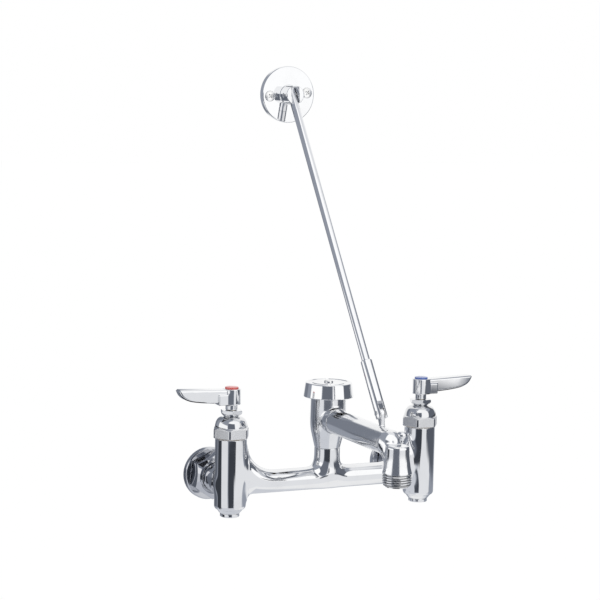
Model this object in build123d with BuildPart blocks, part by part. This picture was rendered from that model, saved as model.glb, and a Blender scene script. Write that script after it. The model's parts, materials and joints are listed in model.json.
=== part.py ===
from build123d import *
import os
from math import atan2, cos, sin, sqrt

# Service-sink wall faucet with a vacuum breaker, a hose-thread spout and a brace rod.
# Millimetres.  X runs from the hot valve to the cold valve, +Y runs into the wall and +Z is up.
# The wall is the plane y = 0, and the origin lies halfway between the two inlet centres.

os.makedirs("parts", exist_ok=True)

# ---- Layout of the casting -------------------------------------------------------------
valve_spacing = 203.2      # hot to cold inlet centres, 8 inches
wall_to_valve = 57.2       # finished wall to the valve axes
spout_reach = 146.0        # valve axes to the axis of the outlet
spout_height = 58.0        # inlet centres up to the axis of the spout
barrel_dia = 30.2
barrel_rise = 44.9         # inlet centres up to the rim of a barrel
barrel_drop = 23.7         # inlet centres down to the rounded end of a barrel
bridge_dia = 21.6
bridge_flare = 31.0        # radius that carries the bridge up into a barrel
bridge_underflare = 8.0    # the same under the bridge
riser_dia = 24.8
riser_rise = 30.0
riser_flare = 9.0
arm_dia = 29.0             # inlet arm that carries the coupling nut
bridge_water_dia = 12.6
bridge_water_lift = 1.5    # the bridge waterway runs this far above the inlet centres
riser_water_dia = 16.0
arm_water_dia = 15.0

# ---- Inlets on the wall ----------------------------------------------------------------
pipe_thread_dia = 18.2     # bore for the 1/2 inch supply nipple
pipe_thread_depth = 14.0
wall_flange_dia = 51.0
wall_flange_edge = 6.5
flange_hub_depth = 16.5
inlet_washer_thick = 2.0
nut_wall = 2.95            # coupling nut's wall round the hub, at the middle of a flat
nut_length = 16.0
nut_gap = 1.5              # between the flange's face and the coupling nut
snap_ring_width = 1.4
snap_ring_stand = 2.0      # radial, snap ring above the arm
snap_groove_depth = 1.1
hub_over_ring = 0.3        # radial, flange's hub above the snap ring

# ---- Valve cartridge, bonnet and gland --------------------------------------------------
seat_drop = 7.0            # inlet centres down to the valve seat
cartridge_dia = 19.0
cartridge_wall = 0.9
cartridge_top = 33.0
collar_thick = 3.0         # cartridge collar that the bonnet clamps
seat_gasket_thick = 1.4
disc_thick = 3.2
disc_port_dia = 5.2
disc_port_circle = 9.5
stem_dia = 8.0
stem_foot_thick = 2.6
bonnet_thread_dia = 24.0
bonnet_gasket_thick = 0.8
bonnet_overhang = 0.9      # bonnet's flats beyond the barrel
bonnet_hex_height = 9.8
bonnet_dome_height = 10.0
packing_dia = 12.8
packing_thick = 2.5
packing_seat_lift = 12.8   # bonnet hex's underside up to the seat of the packing
gland_across_flats = 19.0
gland_hex_height = 6.4
plug_thread_dia = 13.8
plug_shank = 7.6
plug_cap_dia = 18.5
plug_cap_height = 3.5
plug_taper = 3.8           # height of the barrel's taper down to the plug's cap
plug_washer_thick = 1.5
seat_water_dia = 11.0
inlet_drill_dia = 6.0      # slanting drilling from the arm to the chamber under the seat
inlet_drill_inset = 7.0    # where it starts, inside the barrel's surface
inlet_drill_drop = 13.5    # inlet centres down to where it ends

# ---- Handles ----------------------------------------------------------------------------
hub_dia = 17.4
hub_height = 14.9
neck_dia = 11.5
neck_height = 4.5
lever_reach = 55.3         # stem axis to the tip of the lever
lever_height = 13.4
lever_width = 11.0
lever_set_down = 0.5       # the lever's top starts this much below the hub's
lever_climb = 1.4          # and rises this much above it to the tip
root_block_reach = 15.6
root_block_width = 14.0
root_block_height = 10.2
index_dia = 13.0
index_thick = 3.4
index_proud = 1.9
handle_screw_dia = 4.0
handle_screw_length = 11.5
handle_screw_head_dia = 7.8
handle_screw_head_height = 2.5

# ---- Vacuum breaker ---------------------------------------------------------------------
breaker_dia = 34.6
breaker_top = 80.0         # inlet centres up to the rim of the housing
breaker_flare_height = 28.5  # from the riser's top to the full diameter
breaker_chamber_dia = 23.2
breaker_seat_height = 44.0
breaker_spigot_dia = 20.0
breaker_spigot_length = 8.0
breaker_water_dia = 15.0
port_plate_dia = 29.0
port_plate_thick = 2.5
port_plate_drop = 4.5      # housing rim down to the underside of the port plate
plate_hub_rise = 6.0       # housing rim up to the post of the cap
plate_hub_dia = 9.6
air_port_dia = 4.2
air_port_circle = 18.2
poppet_disc_dia = 20.6
poppet_disc_thick = 3.0
poppet_lift = 3.9
poppet_pin_dia = 4.8
poppet_stem_dia = 5.0
poppet_seal_thick = 1.5
cap_dia = 49.3
cap_top_dia = 45.8
cap_height = 14.0
cap_wall = 2.2
cap_post_dia = 12.0
cap_screw_dia = 5.0
cap_screw_head_dia = 9.0

# ---- Spout ------------------------------------------------------------------------------
spout_dia = 23.8
spout_bore = 16.8
spout_boss_dia = 25.0
spout_boss_reach = 22.0    # valve axes out to the face of the spout boss
spout_tail_dia = 19.0
spout_tail_length = 8.5
spout_gasket_thick = 0.8
nose_setback = 17.2        # outlet axis back to the centre of the spout's round nose
outlet_dia = 21.4
outlet_top_rise = 0.5      # top of the outlet above the spout's axis
outlet_bottom = 21.8       # inlet centres up to the end of the hose thread
outlet_bore = 17.6
hose_thread_dia = 26.9     # 3/4 inch garden-hose thread
hose_thread_root_dia = 24.9
hose_thread_pitch = 2.2
hose_thread_turns = 5
outlet_flare_height = 20.0
elbow_radius = 30.0        # centreline bend from the tube down into the outlet
elbow_dia = 20.8
throat_bore = 14.0
hook_setout = 7.3          # outlet axis forward to the pail hook
hook_neck_dia = 5.4
hook_head_dia = 10.4
hook_height = 13.5         # above the spout's axis

# ---- Brace ------------------------------------------------------------------------------
pivot_setback = 35.2       # outlet axis back to the lug's pivot
pivot_height = 82.0
lug_thick = 4.2
lug_head_dia = 9.2
lug_base_length = 16.2
brace_lean = 26.3          # the rod's top stands this far to the hot side
brace_rise = 369.0         # inlet centres up to the brace flange's centre
brace_pin_stand = 15.0     # wall to the pin in the brace flange's post
rod_dia = 7.94
rod_foot = 18.0            # lower pivot up to the foot of the rod
rod_eye_thick = 7.4        # across the two flats
rod_eye_reach = 7.0        # upper pin to the end of the rod
rod_eye_length = 13.0
sleeve_dia = 11.0
sleeve_length = 51.5       # lower pivot to the top of the sleeve
sleeve_slot_depth = 10.2
sleeve_chamfer = 0.8
lower_pin_dia = 4.9
upper_pin_dia = 3.6
set_screw_dia = 4.0
set_screw_height = 40.5
brace_flange_dia = 54.8
brace_flange_thick = 7.0
post_dia = 18.3
post_length = 16.3
post_slot_floor = 0.5      # the slot stops this far in front of the flange
wall_screw_spacing = 39.3
wall_screw_dia = 4.4
wall_screw_shank_dia = 4.8 # plain part, inside the flange
wall_screw_length = 19.0
wall_screw_head_dia = 10.0
wall_screw_hole_dia = 5.2

# ---- Clearances -------------------------------------------------------------------------
thread_play = 0.1          # radial, between a thread and its bore
running_play = 0.05        # radial, for a pin, stem or rod that moves
side_play = 0.15           # between a fork's cheek and what it straddles
edge_break = 0.5

# ---- Places worked out from the sizes ---------------------------------------------------
valve_y = -wall_to_valve
outlet_y = valve_y - spout_reach
half_spacing = valve_spacing / 2
snap_ring_dia = arm_dia + 2 * snap_ring_stand
flange_hub_dia = snap_ring_dia + 2 * hub_over_ring
nut_across_flats = flange_hub_dia + 2 * nut_wall
bonnet_across_flats = barrel_dia + 2 * bonnet_overhang
valve_sides = (("hot", -half_spacing, -1), ("cold", half_spacing, 1))
bonnet_turn = {"hot": 3.2, "cold": -4.8}     # where each bonnet came up tight, in degrees
bonnet_base = barrel_rise + bonnet_gasket_thick
bonnet_shoulder = bonnet_base + bonnet_hex_height
bonnet_top = bonnet_shoulder + bonnet_dome_height
gland_top = bonnet_top + gland_hex_height
hub_base = gland_top + 1.0 + neck_height
hub_top = hub_base + hub_height
seat_z = -seat_drop
fixed_disc_z = seat_z + seat_gasket_thick
moving_disc_z = fixed_disc_z + disc_thick
stem_foot_z = moving_disc_z + disc_thick
cartridge_ledge = cartridge_top - collar_thick
plug_seat_z = -barrel_drop - plug_taper
nut_start = wall_flange_edge + nut_gap
arm_start = flange_hub_depth + inlet_washer_thick
snap_groove_start = arm_start + 0.7
nut_shoulder = snap_groove_start + 0.05 + snap_ring_width
port_plate_z = breaker_top - port_plate_drop
plate_hub_top = breaker_top + plate_hub_rise
pin_top = port_plate_z + 0.8
cap_screw_foot = pin_top + poppet_lift + 0.4
breaker_base = riser_rise
nose_y = outlet_y + nose_setback
thread_height = hose_thread_pitch * hose_thread_turns
lean_angle = atan2(brace_lean, brace_rise - pivot_height)
across = Vector(cos(lean_angle), 0, sin(lean_angle))
lower_pivot = Vector(0, outlet_y + pivot_setback, pivot_height)
upper_pivot = Vector(-brace_lean, -brace_pin_stand, brace_rise)
rod_length = (upper_pivot - lower_pivot).length
rod_direction = (upper_pivot - lower_pivot).normalized()


def keep(name, part):
    """Label a finished piece and write it to its own file."""
    part.label = name
    export_step(part, f"parts/{name}.step")
    print(f"{name}: {part.volume:.0f} mm3, {len(part.solids())} solid(s)")


def level(x, z, y=valve_y):
    """Horizontal plane at a height, facing up, centred on a vertical axis."""
    return Plane(origin=(x, y, z), x_dir=(1, 0, 0), z_dir=(0, 0, 1))


def upright(x, y=valve_y):
    """Vertical plane through an upright axis: across the wall, then up."""
    return Plane(origin=(x, y, 0), x_dir=(1, 0, 0), z_dir=(0, -1, 0))


def off_wall(x, depth, z=0.0):
    """Plane parallel to the wall, facing the user, at a depth in front of it."""
    return Plane(origin=(x, -depth, z), x_dir=(1, 0, 0), z_dir=(0, -1, 0))


def upright_axis(x, y=valve_y):
    """Axis that an upright piece is turned about."""
    return Axis((x, y, 0), (0, 0, 1))


def ring(name, plane, outer_dia, bore_dia, height):
    """Flat ring that stands on a plane."""
    with BuildPart() as flat_ring:
        with BuildSketch(plane):
            Circle(outer_dia / 2)
            Circle(bore_dia / 2, mode=Mode.SUBTRACT)
        extrude(amount=height)
    keep(name, flat_ring.part)


def sweep_up(run, hub_radius, flare_radius):
    """How far a fillet round a hub lifts the bridge's surface at a run from the hub's axis."""
    short = min(max(hub_radius + flare_radius - run, 0.0), flare_radius)
    return flare_radius - sqrt(flare_radius**2 - short**2)


def bridge_half(valve_x, inward):
    """Loft oval sections from inside a barrel, along the bridge, to inside the riser."""
    ovals = []
    for run in bridge_runs:
        to_riser = half_spacing - run
        crown = bridge_dia / 2 + max(
            sweep_up(run, barrel_dia / 2, bridge_flare), sweep_up(to_riser, riser_dia / 2, riser_flare)
        )
        belly = bridge_dia / 2 + sweep_up(run, barrel_dia / 2, bridge_underflare)
        with BuildSketch(Plane.YZ.offset(valve_x + inward * run)) as oval:
            with Locations((valve_y, (crown - belly) / 2)):
                Ellipse(bridge_dia / 2, (crown + belly) / 2)
        ovals.append(oval.sketch)
    loft(ovals)


def cut_ports(plane, depth, start_angle):
    """Cut the two water ports of a ceramic disc or of the stem's foot."""
    with BuildSketch(plane) as ports:
        with PolarLocations(disc_port_circle / 2, 2, start_angle=start_angle):
            Circle(disc_port_dia / 2)
    extrude(ports.sketch, amount=depth, mode=Mode.SUBTRACT)


# ---- Valve body: barrels, bridge, riser and inlet arms in one casting --------------------
bridge_runs = [0.66 * barrel_dia / 2]
bridge_runs += [barrel_dia / 2 + bridge_flare * share for share in (0.04, 0.16, 0.36, 0.62, 1.0)]
bridge_runs += [0.62 * half_spacing]
bridge_runs += [half_spacing - riser_dia / 2 - riser_flare * share for share in (1.0, 0.62, 0.3, 0.06)]
bridge_runs += [half_spacing - 0.62 * riser_dia / 2]
drill_start = Vector(0, valve_y + barrel_dia / 2 + inlet_drill_inset, -arm_water_dia * 0.27)
drill_end = Vector(0, valve_y + inlet_drill_dia / 3, -inlet_drill_drop)

with BuildPart() as valve_body:
    for side_name, x, outward in valve_sides:
        with BuildSketch(upright(x)):
            with BuildLine():
                Polyline(
                    (0, barrel_rise),
                    (barrel_dia / 2, barrel_rise),
                    (barrel_dia / 2, -barrel_drop + 2.6),
                    (barrel_dia / 2 - 0.8, -barrel_drop + 0.8),
                    (barrel_dia / 2 - 2.4, -barrel_drop),
                    (plug_cap_dia / 2 + 0.4, plug_seat_z),
                    (0, plug_seat_z),
                    close=True,
                )
            make_face()
        revolve(axis=upright_axis(x))
        with BuildSketch(off_wall(x, arm_start)):
            Circle(arm_dia / 2)
        extrude(amount=wall_to_valve - arm_start)
        bridge_half(x, -outward)
    # riser: it swells out of the bridge
    with BuildSketch(upright(0)):
        with BuildLine():
            Polyline(
                (0, -bridge_dia / 4),
                (bridge_dia * 0.38, -bridge_dia / 4),
                (riser_dia / 2, bridge_dia / 4),
                (riser_dia / 2, riser_rise),
                (0, riser_rise),
                close=True,
            )
        make_face()
    revolve(axis=upright_axis(0))
    # waterways of the riser and the bridge
    with BuildSketch(level(0, 0)):
        Circle(riser_water_dia / 2)
    extrude(amount=riser_rise, mode=Mode.SUBTRACT)
    with BuildSketch(level(0, riser_rise - breaker_spigot_length - 0.5)):
        Circle(breaker_spigot_dia / 2 + thread_play)
    extrude(amount=breaker_spigot_length + 0.5, mode=Mode.SUBTRACT)
    with BuildSketch(Plane.YZ.offset(-half_spacing)):
        with Locations((valve_y, bridge_water_lift)):
            Circle(bridge_water_dia / 2)
    extrude(amount=valve_spacing, mode=Mode.SUBTRACT)
    for side_name, x, outward in valve_sides:
        # cartridge bore, bonnet thread, chamber under the seat and plug thread
        with BuildSketch(level(x, seat_z)):
            Circle(cartridge_dia / 2 + thread_play)
        extrude(amount=cartridge_ledge - seat_z, mode=Mode.SUBTRACT)
        with BuildSketch(level(x, cartridge_ledge)):
            Circle(bonnet_thread_dia / 2 + thread_play)
        extrude(amount=barrel_rise - cartridge_ledge, mode=Mode.SUBTRACT)
        with BuildSketch(level(x, plug_seat_z)):
            Circle(plug_thread_dia / 2 + thread_play)
        extrude(amount=plug_shank + plug_washer_thick, mode=Mode.SUBTRACT)
        with BuildSketch(level(x, plug_seat_z)):
            Circle(seat_water_dia / 2)
        extrude(amount=seat_z - plug_seat_z, mode=Mode.SUBTRACT)
        # arm waterway and the drilling down to the chamber
        with BuildSketch(off_wall(x, arm_start)):
            Circle(arm_water_dia / 2)
        extrude(amount=-drill_start.Y + 1.0 - arm_start, mode=Mode.SUBTRACT)
        with BuildSketch(Plane(origin=drill_start + Vector(x, 0, 0), z_dir=drill_end - drill_start)):
            Circle(inlet_drill_dia / 2)
        extrude(amount=(drill_end - drill_start).length, mode=Mode.SUBTRACT)
        # groove for the snap ring
        with BuildSketch(off_wall(x, snap_groove_start)):
            Circle(arm_dia / 2 + 1.0)
            Circle(arm_dia / 2 - snap_groove_depth, mode=Mode.SUBTRACT)
        extrude(amount=snap_ring_width + 0.1, mode=Mode.SUBTRACT)
keep("valve_body", valve_body.part)


# ---- Wall inlets: flange, washer, snap ring and coupling nut ------------------------------
for side_name, x, outward in valve_sides:
    with BuildPart() as wall_flange:
        with BuildSketch(off_wall(x, 0)):
            Circle(wall_flange_dia / 2)
        extrude(amount=wall_flange_edge)
        fillet(wall_flange.edges().group_by(Axis.Y)[0], radius=1.6)
        with BuildSketch(off_wall(x, 0)):
            Circle(flange_hub_dia / 2)
        extrude(amount=flange_hub_depth)
        with BuildSketch(off_wall(x, 0)):
            Circle(pipe_thread_dia / 2)
        extrude(amount=pipe_thread_depth, mode=Mode.SUBTRACT)
        with BuildSketch(off_wall(x, 0)):
            Circle(arm_water_dia / 2)
        extrude(amount=flange_hub_depth, mode=Mode.SUBTRACT)
    keep(f"{side_name}_wall_flange", wall_flange.part)

    ring(
        f"{side_name}_inlet_washer",
        off_wall(x, flange_hub_depth),
        arm_dia - 0.4,
        arm_water_dia + 1.0,
        inlet_washer_thick,
    )

    with BuildPart() as snap_ring:
        with BuildSketch(off_wall(x, snap_groove_start + 0.05)):
            Circle(snap_ring_dia / 2)
            Circle(arm_dia / 2 - snap_groove_depth + running_play, mode=Mode.SUBTRACT)
            with Locations((0, -arm_dia / 2)):
                Rectangle(5.0, arm_dia / 2, mode=Mode.SUBTRACT)
        extrude(amount=snap_ring_width)
    keep(f"{side_name}_snap_ring", snap_ring.part)

    with BuildPart() as coupling_nut:
        with BuildSketch(off_wall(x, nut_start)):
            RegularPolygon(nut_across_flats / 2, 6, major_radius=False, rotation=25)
        extrude(amount=nut_length)
        # the front corners are turned to a cone
        with BuildSketch(Plane(origin=(x, 0, 0), x_dir=(1, 0, 0), z_dir=(0, 0, 1))):
            with BuildLine():
                Polyline(
                    (0, -nut_start),
                    (nut_across_flats * 0.58, -nut_start),
                    (nut_across_flats * 0.58, -nut_start - nut_length * 0.72),
                    (nut_across_flats * 0.44, -nut_start - nut_length),
                    (0, -nut_start - nut_length),
                    close=True,
                )
            make_face()
        revolve(axis=Axis((x, 0, 0), (0, 1, 0)), mode=Mode.INTERSECT)
        with BuildSketch(off_wall(x, nut_start)):
            Circle(flange_hub_dia / 2 + thread_play)
        extrude(amount=nut_shoulder - nut_start, mode=Mode.SUBTRACT)
        with BuildSketch(off_wall(x, nut_start)):
            Circle(arm_dia / 2 + 0.3)
        extrude(amount=nut_length, mode=Mode.SUBTRACT)
    keep(f"{side_name}_coupling_nut", coupling_nut.part)


# ---- Valve cartridges, bonnets, glands and plugs ------------------------------------------
for side_name, x, outward in valve_sides:
    ring(
        f"{side_name}_seat_gasket",
        level(x, seat_z),
        cartridge_dia - 0.4,
        seat_water_dia,
        seat_gasket_thick,
    )

    disc_dia = cartridge_dia - 2 * cartridge_wall - 0.2
    with BuildPart() as fixed_disc:
        with BuildSketch(level(x, fixed_disc_z)):
            Circle(disc_dia / 2)
        extrude(amount=disc_thick)
        cut_ports(level(x, fixed_disc_z), disc_thick, start_angle=0)
    keep(f"{side_name}_fixed_disc", fixed_disc.part)

    with BuildPart() as moving_disc:
        with BuildSketch(level(x, moving_disc_z)):
            Circle(disc_dia / 2 - running_play)
        extrude(amount=disc_thick)
        cut_ports(level(x, moving_disc_z), disc_thick, start_angle=90)
    keep(f"{side_name}_moving_disc", moving_disc.part)

    with BuildPart() as cartridge:
        with BuildSketch(level(x, fixed_disc_z)):
            Circle(cartridge_dia / 2)
        extrude(amount=cartridge_top - fixed_disc_z)
        with BuildSketch(level(x, cartridge_ledge)):
            Circle(bonnet_thread_dia / 2 - 0.1)
        extrude(amount=collar_thick)
        with BuildSketch(level(x, fixed_disc_z)):
            Circle(cartridge_dia / 2 - cartridge_wall)
        extrude(amount=cartridge_ledge - fixed_disc_z - 1.0, mode=Mode.SUBTRACT)
        with BuildSketch(level(x, fixed_disc_z)):
            Circle(stem_dia / 2 + running_play)
        extrude(amount=cartridge_top - fixed_disc_z, mode=Mode.SUBTRACT)
        # water leaves through two windows beside the bridge
        with BuildSketch(level(x, stem_foot_z + stem_foot_thick)):
            Rectangle(cartridge_dia + 2, bridge_water_dia - 2.6)
        extrude(amount=bridge_water_dia / 2, mode=Mode.SUBTRACT)
    keep(f"{side_name}_cartridge", cartridge.part)

    with BuildPart() as stem:
        with BuildSketch(level(x, stem_foot_z)):
            Circle(disc_dia / 2 - running_play)
        extrude(amount=stem_foot_thick)
        cut_ports(level(x, stem_foot_z), stem_foot_thick, start_angle=90)
        with BuildSketch(level(x, stem_foot_z)):
            Circle(stem_dia / 2 - 1.0)
        extrude(amount=hub_base - stem_foot_z)
        with BuildSketch(level(x, stem_foot_z + stem_foot_thick + 3.0)):
            Circle(stem_dia / 2)
        extrude(amount=hub_base + hub_height * 0.48 - stem_foot_z - stem_foot_thick - 3.0)
        with BuildSketch(level(x, hub_base + hub_height * 0.48 - handle_screw_length + 1.0)):
            Circle(handle_screw_dia / 2 + running_play)
        extrude(amount=handle_screw_length, mode=Mode.SUBTRACT)
    keep(f"{side_name}_stem", stem.part)

    ring(
        f"{side_name}_bonnet_gasket",
        level(x, barrel_rise),
        barrel_dia - 0.6,
        bonnet_thread_dia + 0.2,
        bonnet_gasket_thick,
    )

    with BuildPart() as bonnet:
        with BuildSketch(level(x, bonnet_base)):
            RegularPolygon(bonnet_across_flats / 2, 6, major_radius=False, rotation=bonnet_turn[side_name])
        extrude(amount=bonnet_hex_height)
        with BuildSketch(upright(x)):
            with BuildLine():
                Polyline(
                    (0, bonnet_shoulder),
                    (0, bonnet_base),
                    (bonnet_across_flats * 0.56, bonnet_base),
                    (bonnet_across_flats * 0.58, bonnet_base + 0.8),
                    (bonnet_across_flats * 0.58, bonnet_shoulder - 2.0),
                    (bonnet_across_flats * 0.49, bonnet_shoulder),
                    close=True,
                )
            make_face()
        revolve(axis=upright_axis(x), mode=Mode.INTERSECT)
        with BuildSketch(upright(x)):
            with BuildLine():
                dome = Spline(
                    (bonnet_across_flats * 0.485, bonnet_shoulder),
                    (bonnet_across_flats * 0.464, bonnet_shoulder + bonnet_dome_height * 0.4),
                    (bonnet_across_flats * 0.397, bonnet_shoulder + bonnet_dome_height * 0.79),
                    (bonnet_across_flats * 0.285, bonnet_top),
                    tangents=((0, 1), (-1, 0.1)),
                )
                Polyline(dome @ 1, (0, bonnet_top), (0, bonnet_shoulder), dome @ 0)
            make_face()
        revolve(axis=upright_axis(x))
        with BuildSketch(level(x, cartridge_top)):
            Circle(bonnet_thread_dia / 2)
        extrude(amount=bonnet_base - cartridge_top)
        # packing chamber, stem bore and hollow inside
        with BuildSketch(level(x, bonnet_base + packing_seat_lift)):
            Circle(packing_dia / 2 + thread_play)
        extrude(amount=bonnet_top - bonnet_base - packing_seat_lift, mode=Mode.SUBTRACT)
        with BuildSketch(level(x, cartridge_top)):
            Circle(stem_dia / 2 + running_play)
        extrude(amount=bonnet_top - cartridge_top, mode=Mode.SUBTRACT)
        with BuildSketch(level(x, cartridge_top)):
            Circle(bonnet_thread_dia / 2 - 2.6)
        extrude(amount=bonnet_base - cartridge_top + 4.0, mode=Mode.SUBTRACT)
    keep(f"{side_name}_bonnet", bonnet.part)

    ring(
        f"{side_name}_packing",
        level(x, bonnet_base + packing_seat_lift),
        packing_dia - 0.1,
        stem_dia + 2 * running_play,
        packing_thick,
    )

    with BuildPart() as gland_nut:
        with BuildSketch(level(x, bonnet_top)):
            RegularPolygon(gland_across_flats / 2, 6, major_radius=False, rotation=14)
        extrude(amount=gland_hex_height)
        # the lower corners are cut back to a cone, so that the nut flares upwards
        with BuildSketch(upright(x)):
            with BuildLine():
                Polyline(
                    (0, bonnet_top),
                    (gland_across_flats * 0.36, bonnet_top),
                    (gland_across_flats * 0.58, bonnet_top + gland_hex_height * 0.62),
                    (gland_across_flats * 0.58, gland_top - 0.6),
                    (gland_across_flats * 0.53, gland_top),
                    (0, gland_top),
                    close=True,
                )
            make_face()
        revolve(axis=upright_axis(x), mode=Mode.INTERSECT)
        with BuildSketch(level(x, bonnet_base + packing_seat_lift + packing_thick)):
            Circle(packing_dia / 2)
        extrude(amount=bonnet_top - bonnet_base - packing_seat_lift - packing_thick)
        with BuildSketch(level(x, bonnet_base + packing_seat_lift)):
            Circle(stem_dia / 2 + running_play)
        extrude(amount=gland_top - bonnet_base - packing_seat_lift, mode=Mode.SUBTRACT)
    keep(f"{side_name}_gland_nut", gland_nut.part)

    ring(
        f"{side_name}_plug_washer",
        level(x, plug_seat_z + plug_shank),
        plug_thread_dia - 0.1,
        seat_water_dia - 2.0,
        plug_washer_thick,
    )

    with BuildPart() as bottom_plug:
        with BuildSketch(level(x, plug_seat_z)):
            Circle(plug_thread_dia / 2)
        extrude(amount=plug_shank)
        with BuildSketch(level(x, plug_seat_z - plug_cap_height)):
            Circle(plug_cap_dia / 2)
        extrude(amount=plug_cap_height)
        chamfer(bottom_plug.edges().group_by(Axis.Z)[0], length=edge_break)
        with BuildSketch(level(x, plug_seat_z - plug_cap_height)):
            Rectangle(plug_cap_dia, 1.8)
        extrude(amount=1.8, mode=Mode.SUBTRACT)
    keep(f"{side_name}_bottom_plug", bottom_plug.part)


# ---- Lever handles -------------------------------------------------------------------------
for side_name, x, outward in valve_sides:
    lever_plane = Plane(origin=(x, valve_y, hub_top), x_dir=(outward, 0, 0), z_dir=(0, -outward, 0))
    screw_seat = hub_base + hub_height * 0.48 + 2.4
    with BuildPart() as handle:
        with BuildSketch(level(x, hub_base)):
            Circle(hub_dia / 2)
        extrude(amount=hub_height)
        chamfer(handle.edges().group_by(Axis.Z)[-1], length=edge_break)
        with BuildSketch(level(x, hub_base - neck_height)):
            Circle(neck_dia / 2)
        extrude(amount=neck_height)
        # lever: a straight top that climbs outwards and a lower edge that curves up to the tip
        with BuildSketch(lever_plane):
            with BuildLine():
                top_edge = Line((0, -lever_set_down), (lever_reach - 1.3, lever_climb))
                tip = Line(top_edge @ 1, (lever_reach, lever_climb - 1.4))
                under = Spline(
                    tip @ 1,
                    (lever_reach * 0.962, -lever_height * 0.31),
                    (lever_reach * 0.90, -lever_height * 0.55),
                    (lever_reach * 0.795, -lever_height * 0.74),
                    (lever_reach * 0.64, -lever_height * 0.86),
                    (lever_reach * 0.47, -lever_height * 0.935),
                    (lever_reach * 0.27, -lever_height * 0.985),
                )
                Polyline(under @ 1, (0, -lever_height), (0, -lever_set_down))
            make_face()
        extrude(amount=lever_width / 2, both=True)
        # root block that stiffens the lower half of the lever at the hub
        with BuildSketch(lever_plane):
            with Locations((root_block_reach / 2, -hub_height + root_block_height / 2)):
                Rectangle(root_block_reach, root_block_height)
        extrude(amount=root_block_width / 2, both=True)
        with BuildSketch(level(x, hub_base - neck_height)):
            Circle(stem_dia / 2 + running_play)
        extrude(amount=neck_height + hub_height * 0.48 + 0.3, mode=Mode.SUBTRACT)
        with BuildSketch(level(x, hub_base)):
            Circle(handle_screw_dia / 2 + 0.2)
        extrude(amount=hub_height, mode=Mode.SUBTRACT)
        with BuildSketch(level(x, screw_seat)):
            Circle(handle_screw_head_dia / 2 + 0.4)
        extrude(amount=hub_top - screw_seat, mode=Mode.SUBTRACT)
        with BuildSketch(level(x, hub_top + index_proud - index_thick)):
            Circle(index_dia / 2 + running_play)
        extrude(amount=index_thick, mode=Mode.SUBTRACT)
    keep(f"{side_name}_handle", handle.part)

    with BuildPart() as handle_screw:
        with BuildSketch(level(x, screw_seat - handle_screw_length)):
            Circle(handle_screw_dia / 2)
        extrude(amount=handle_screw_length)
        with BuildSketch(level(x, screw_seat)):
            Circle(handle_screw_head_dia / 2)
        extrude(amount=handle_screw_head_height)
        with BuildSketch(level(x, screw_seat + handle_screw_head_height - 1.0)):
            Rectangle(handle_screw_head_dia, 1.0)
        extrude(amount=1.0, mode=Mode.SUBTRACT)
    keep(f"{side_name}_handle_screw", handle_screw.part)

    with BuildPart() as index_button:
        with BuildSketch(level(x, hub_top + index_proud - index_thick)):
            Circle(index_dia / 2)
        extrude(amount=index_thick)
        fillet(index_button.edges().group_by(Axis.Z)[-1], radius=0.4)
    keep(f"{side_name}_index_button", index_button.part)


# ---- Vacuum breaker ------------------------------------------------------------------------
with BuildPart() as breaker_housing:
    with BuildSketch(upright(0)):
        with BuildLine():
            foot = Line((0, breaker_base), (riser_dia / 2, breaker_base))
            flank = Spline(
                foot @ 1,
                (riser_dia / 2 + (breaker_dia - riser_dia) * 0.21, breaker_base + breaker_flare_height * 0.3),
                (riser_dia / 2 + (breaker_dia - riser_dia) * 0.43, breaker_base + breaker_flare_height * 0.65),
                (breaker_dia / 2, breaker_base + breaker_flare_height),
                tangents=((0.22, 1), (0, 1)),
            )
            Polyline(flank @ 1, (breaker_dia / 2, breaker_top), (0, breaker_top), (0, breaker_base))
        make_face()
    revolve(axis=upright_axis(0))
    with BuildSketch(off_wall(0, wall_to_valve, spout_height)):
        Circle(spout_boss_dia / 2)
    extrude(amount=spout_boss_reach)
    with BuildSketch(level(0, breaker_base - breaker_spigot_length)):
        Circle(breaker_spigot_dia / 2)
    extrude(amount=breaker_spigot_length)
    # waterway, float chamber, plate seat and spout port
    with BuildSketch(level(0, breaker_base - breaker_spigot_length)):
        Circle(breaker_water_dia / 2)
    extrude(amount=breaker_top - breaker_base + breaker_spigot_length, mode=Mode.SUBTRACT)
    with BuildSketch(level(0, breaker_seat_height)):
        Circle(breaker_chamber_dia / 2)
    extrude(amount=breaker_top - breaker_seat_height, mode=Mode.SUBTRACT)
    with BuildSketch(level(0, port_plate_z)):
        Circle(port_plate_dia / 2 + thread_play)
    extrude(amount=port_plate_drop, mode=Mode.SUBTRACT)
    with BuildSketch(off_wall(0, wall_to_valve, spout_height)):
        Circle(spout_tail_dia / 2 + thread_play)
    extrude(amount=spout_boss_reach, mode=Mode.SUBTRACT)
keep("breaker_housing", breaker_housing.part)

with BuildPart() as port_plate:
    with BuildSketch(level(0, port_plate_z)):
        Circle(port_plate_dia / 2)
    extrude(amount=port_plate_thick)
    with BuildSketch(level(0, port_plate_z)):
        Circle(plate_hub_dia / 2)
    extrude(amount=plate_hub_top - port_plate_z)
    with BuildSketch(level(0, port_plate_z)):
        Circle(poppet_pin_dia / 2 + running_play)
        with PolarLocations(air_port_circle / 2, 6):
            Circle(air_port_dia / 2)
    extrude(amount=cap_screw_foot - port_plate_z, mode=Mode.SUBTRACT)
    with BuildSketch(level(0, cap_screw_foot)):
        Circle(cap_screw_dia / 2 + thread_play)
    extrude(amount=plate_hub_top - cap_screw_foot, mode=Mode.SUBTRACT)
keep("air_port_plate", port_plate.part)

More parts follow.
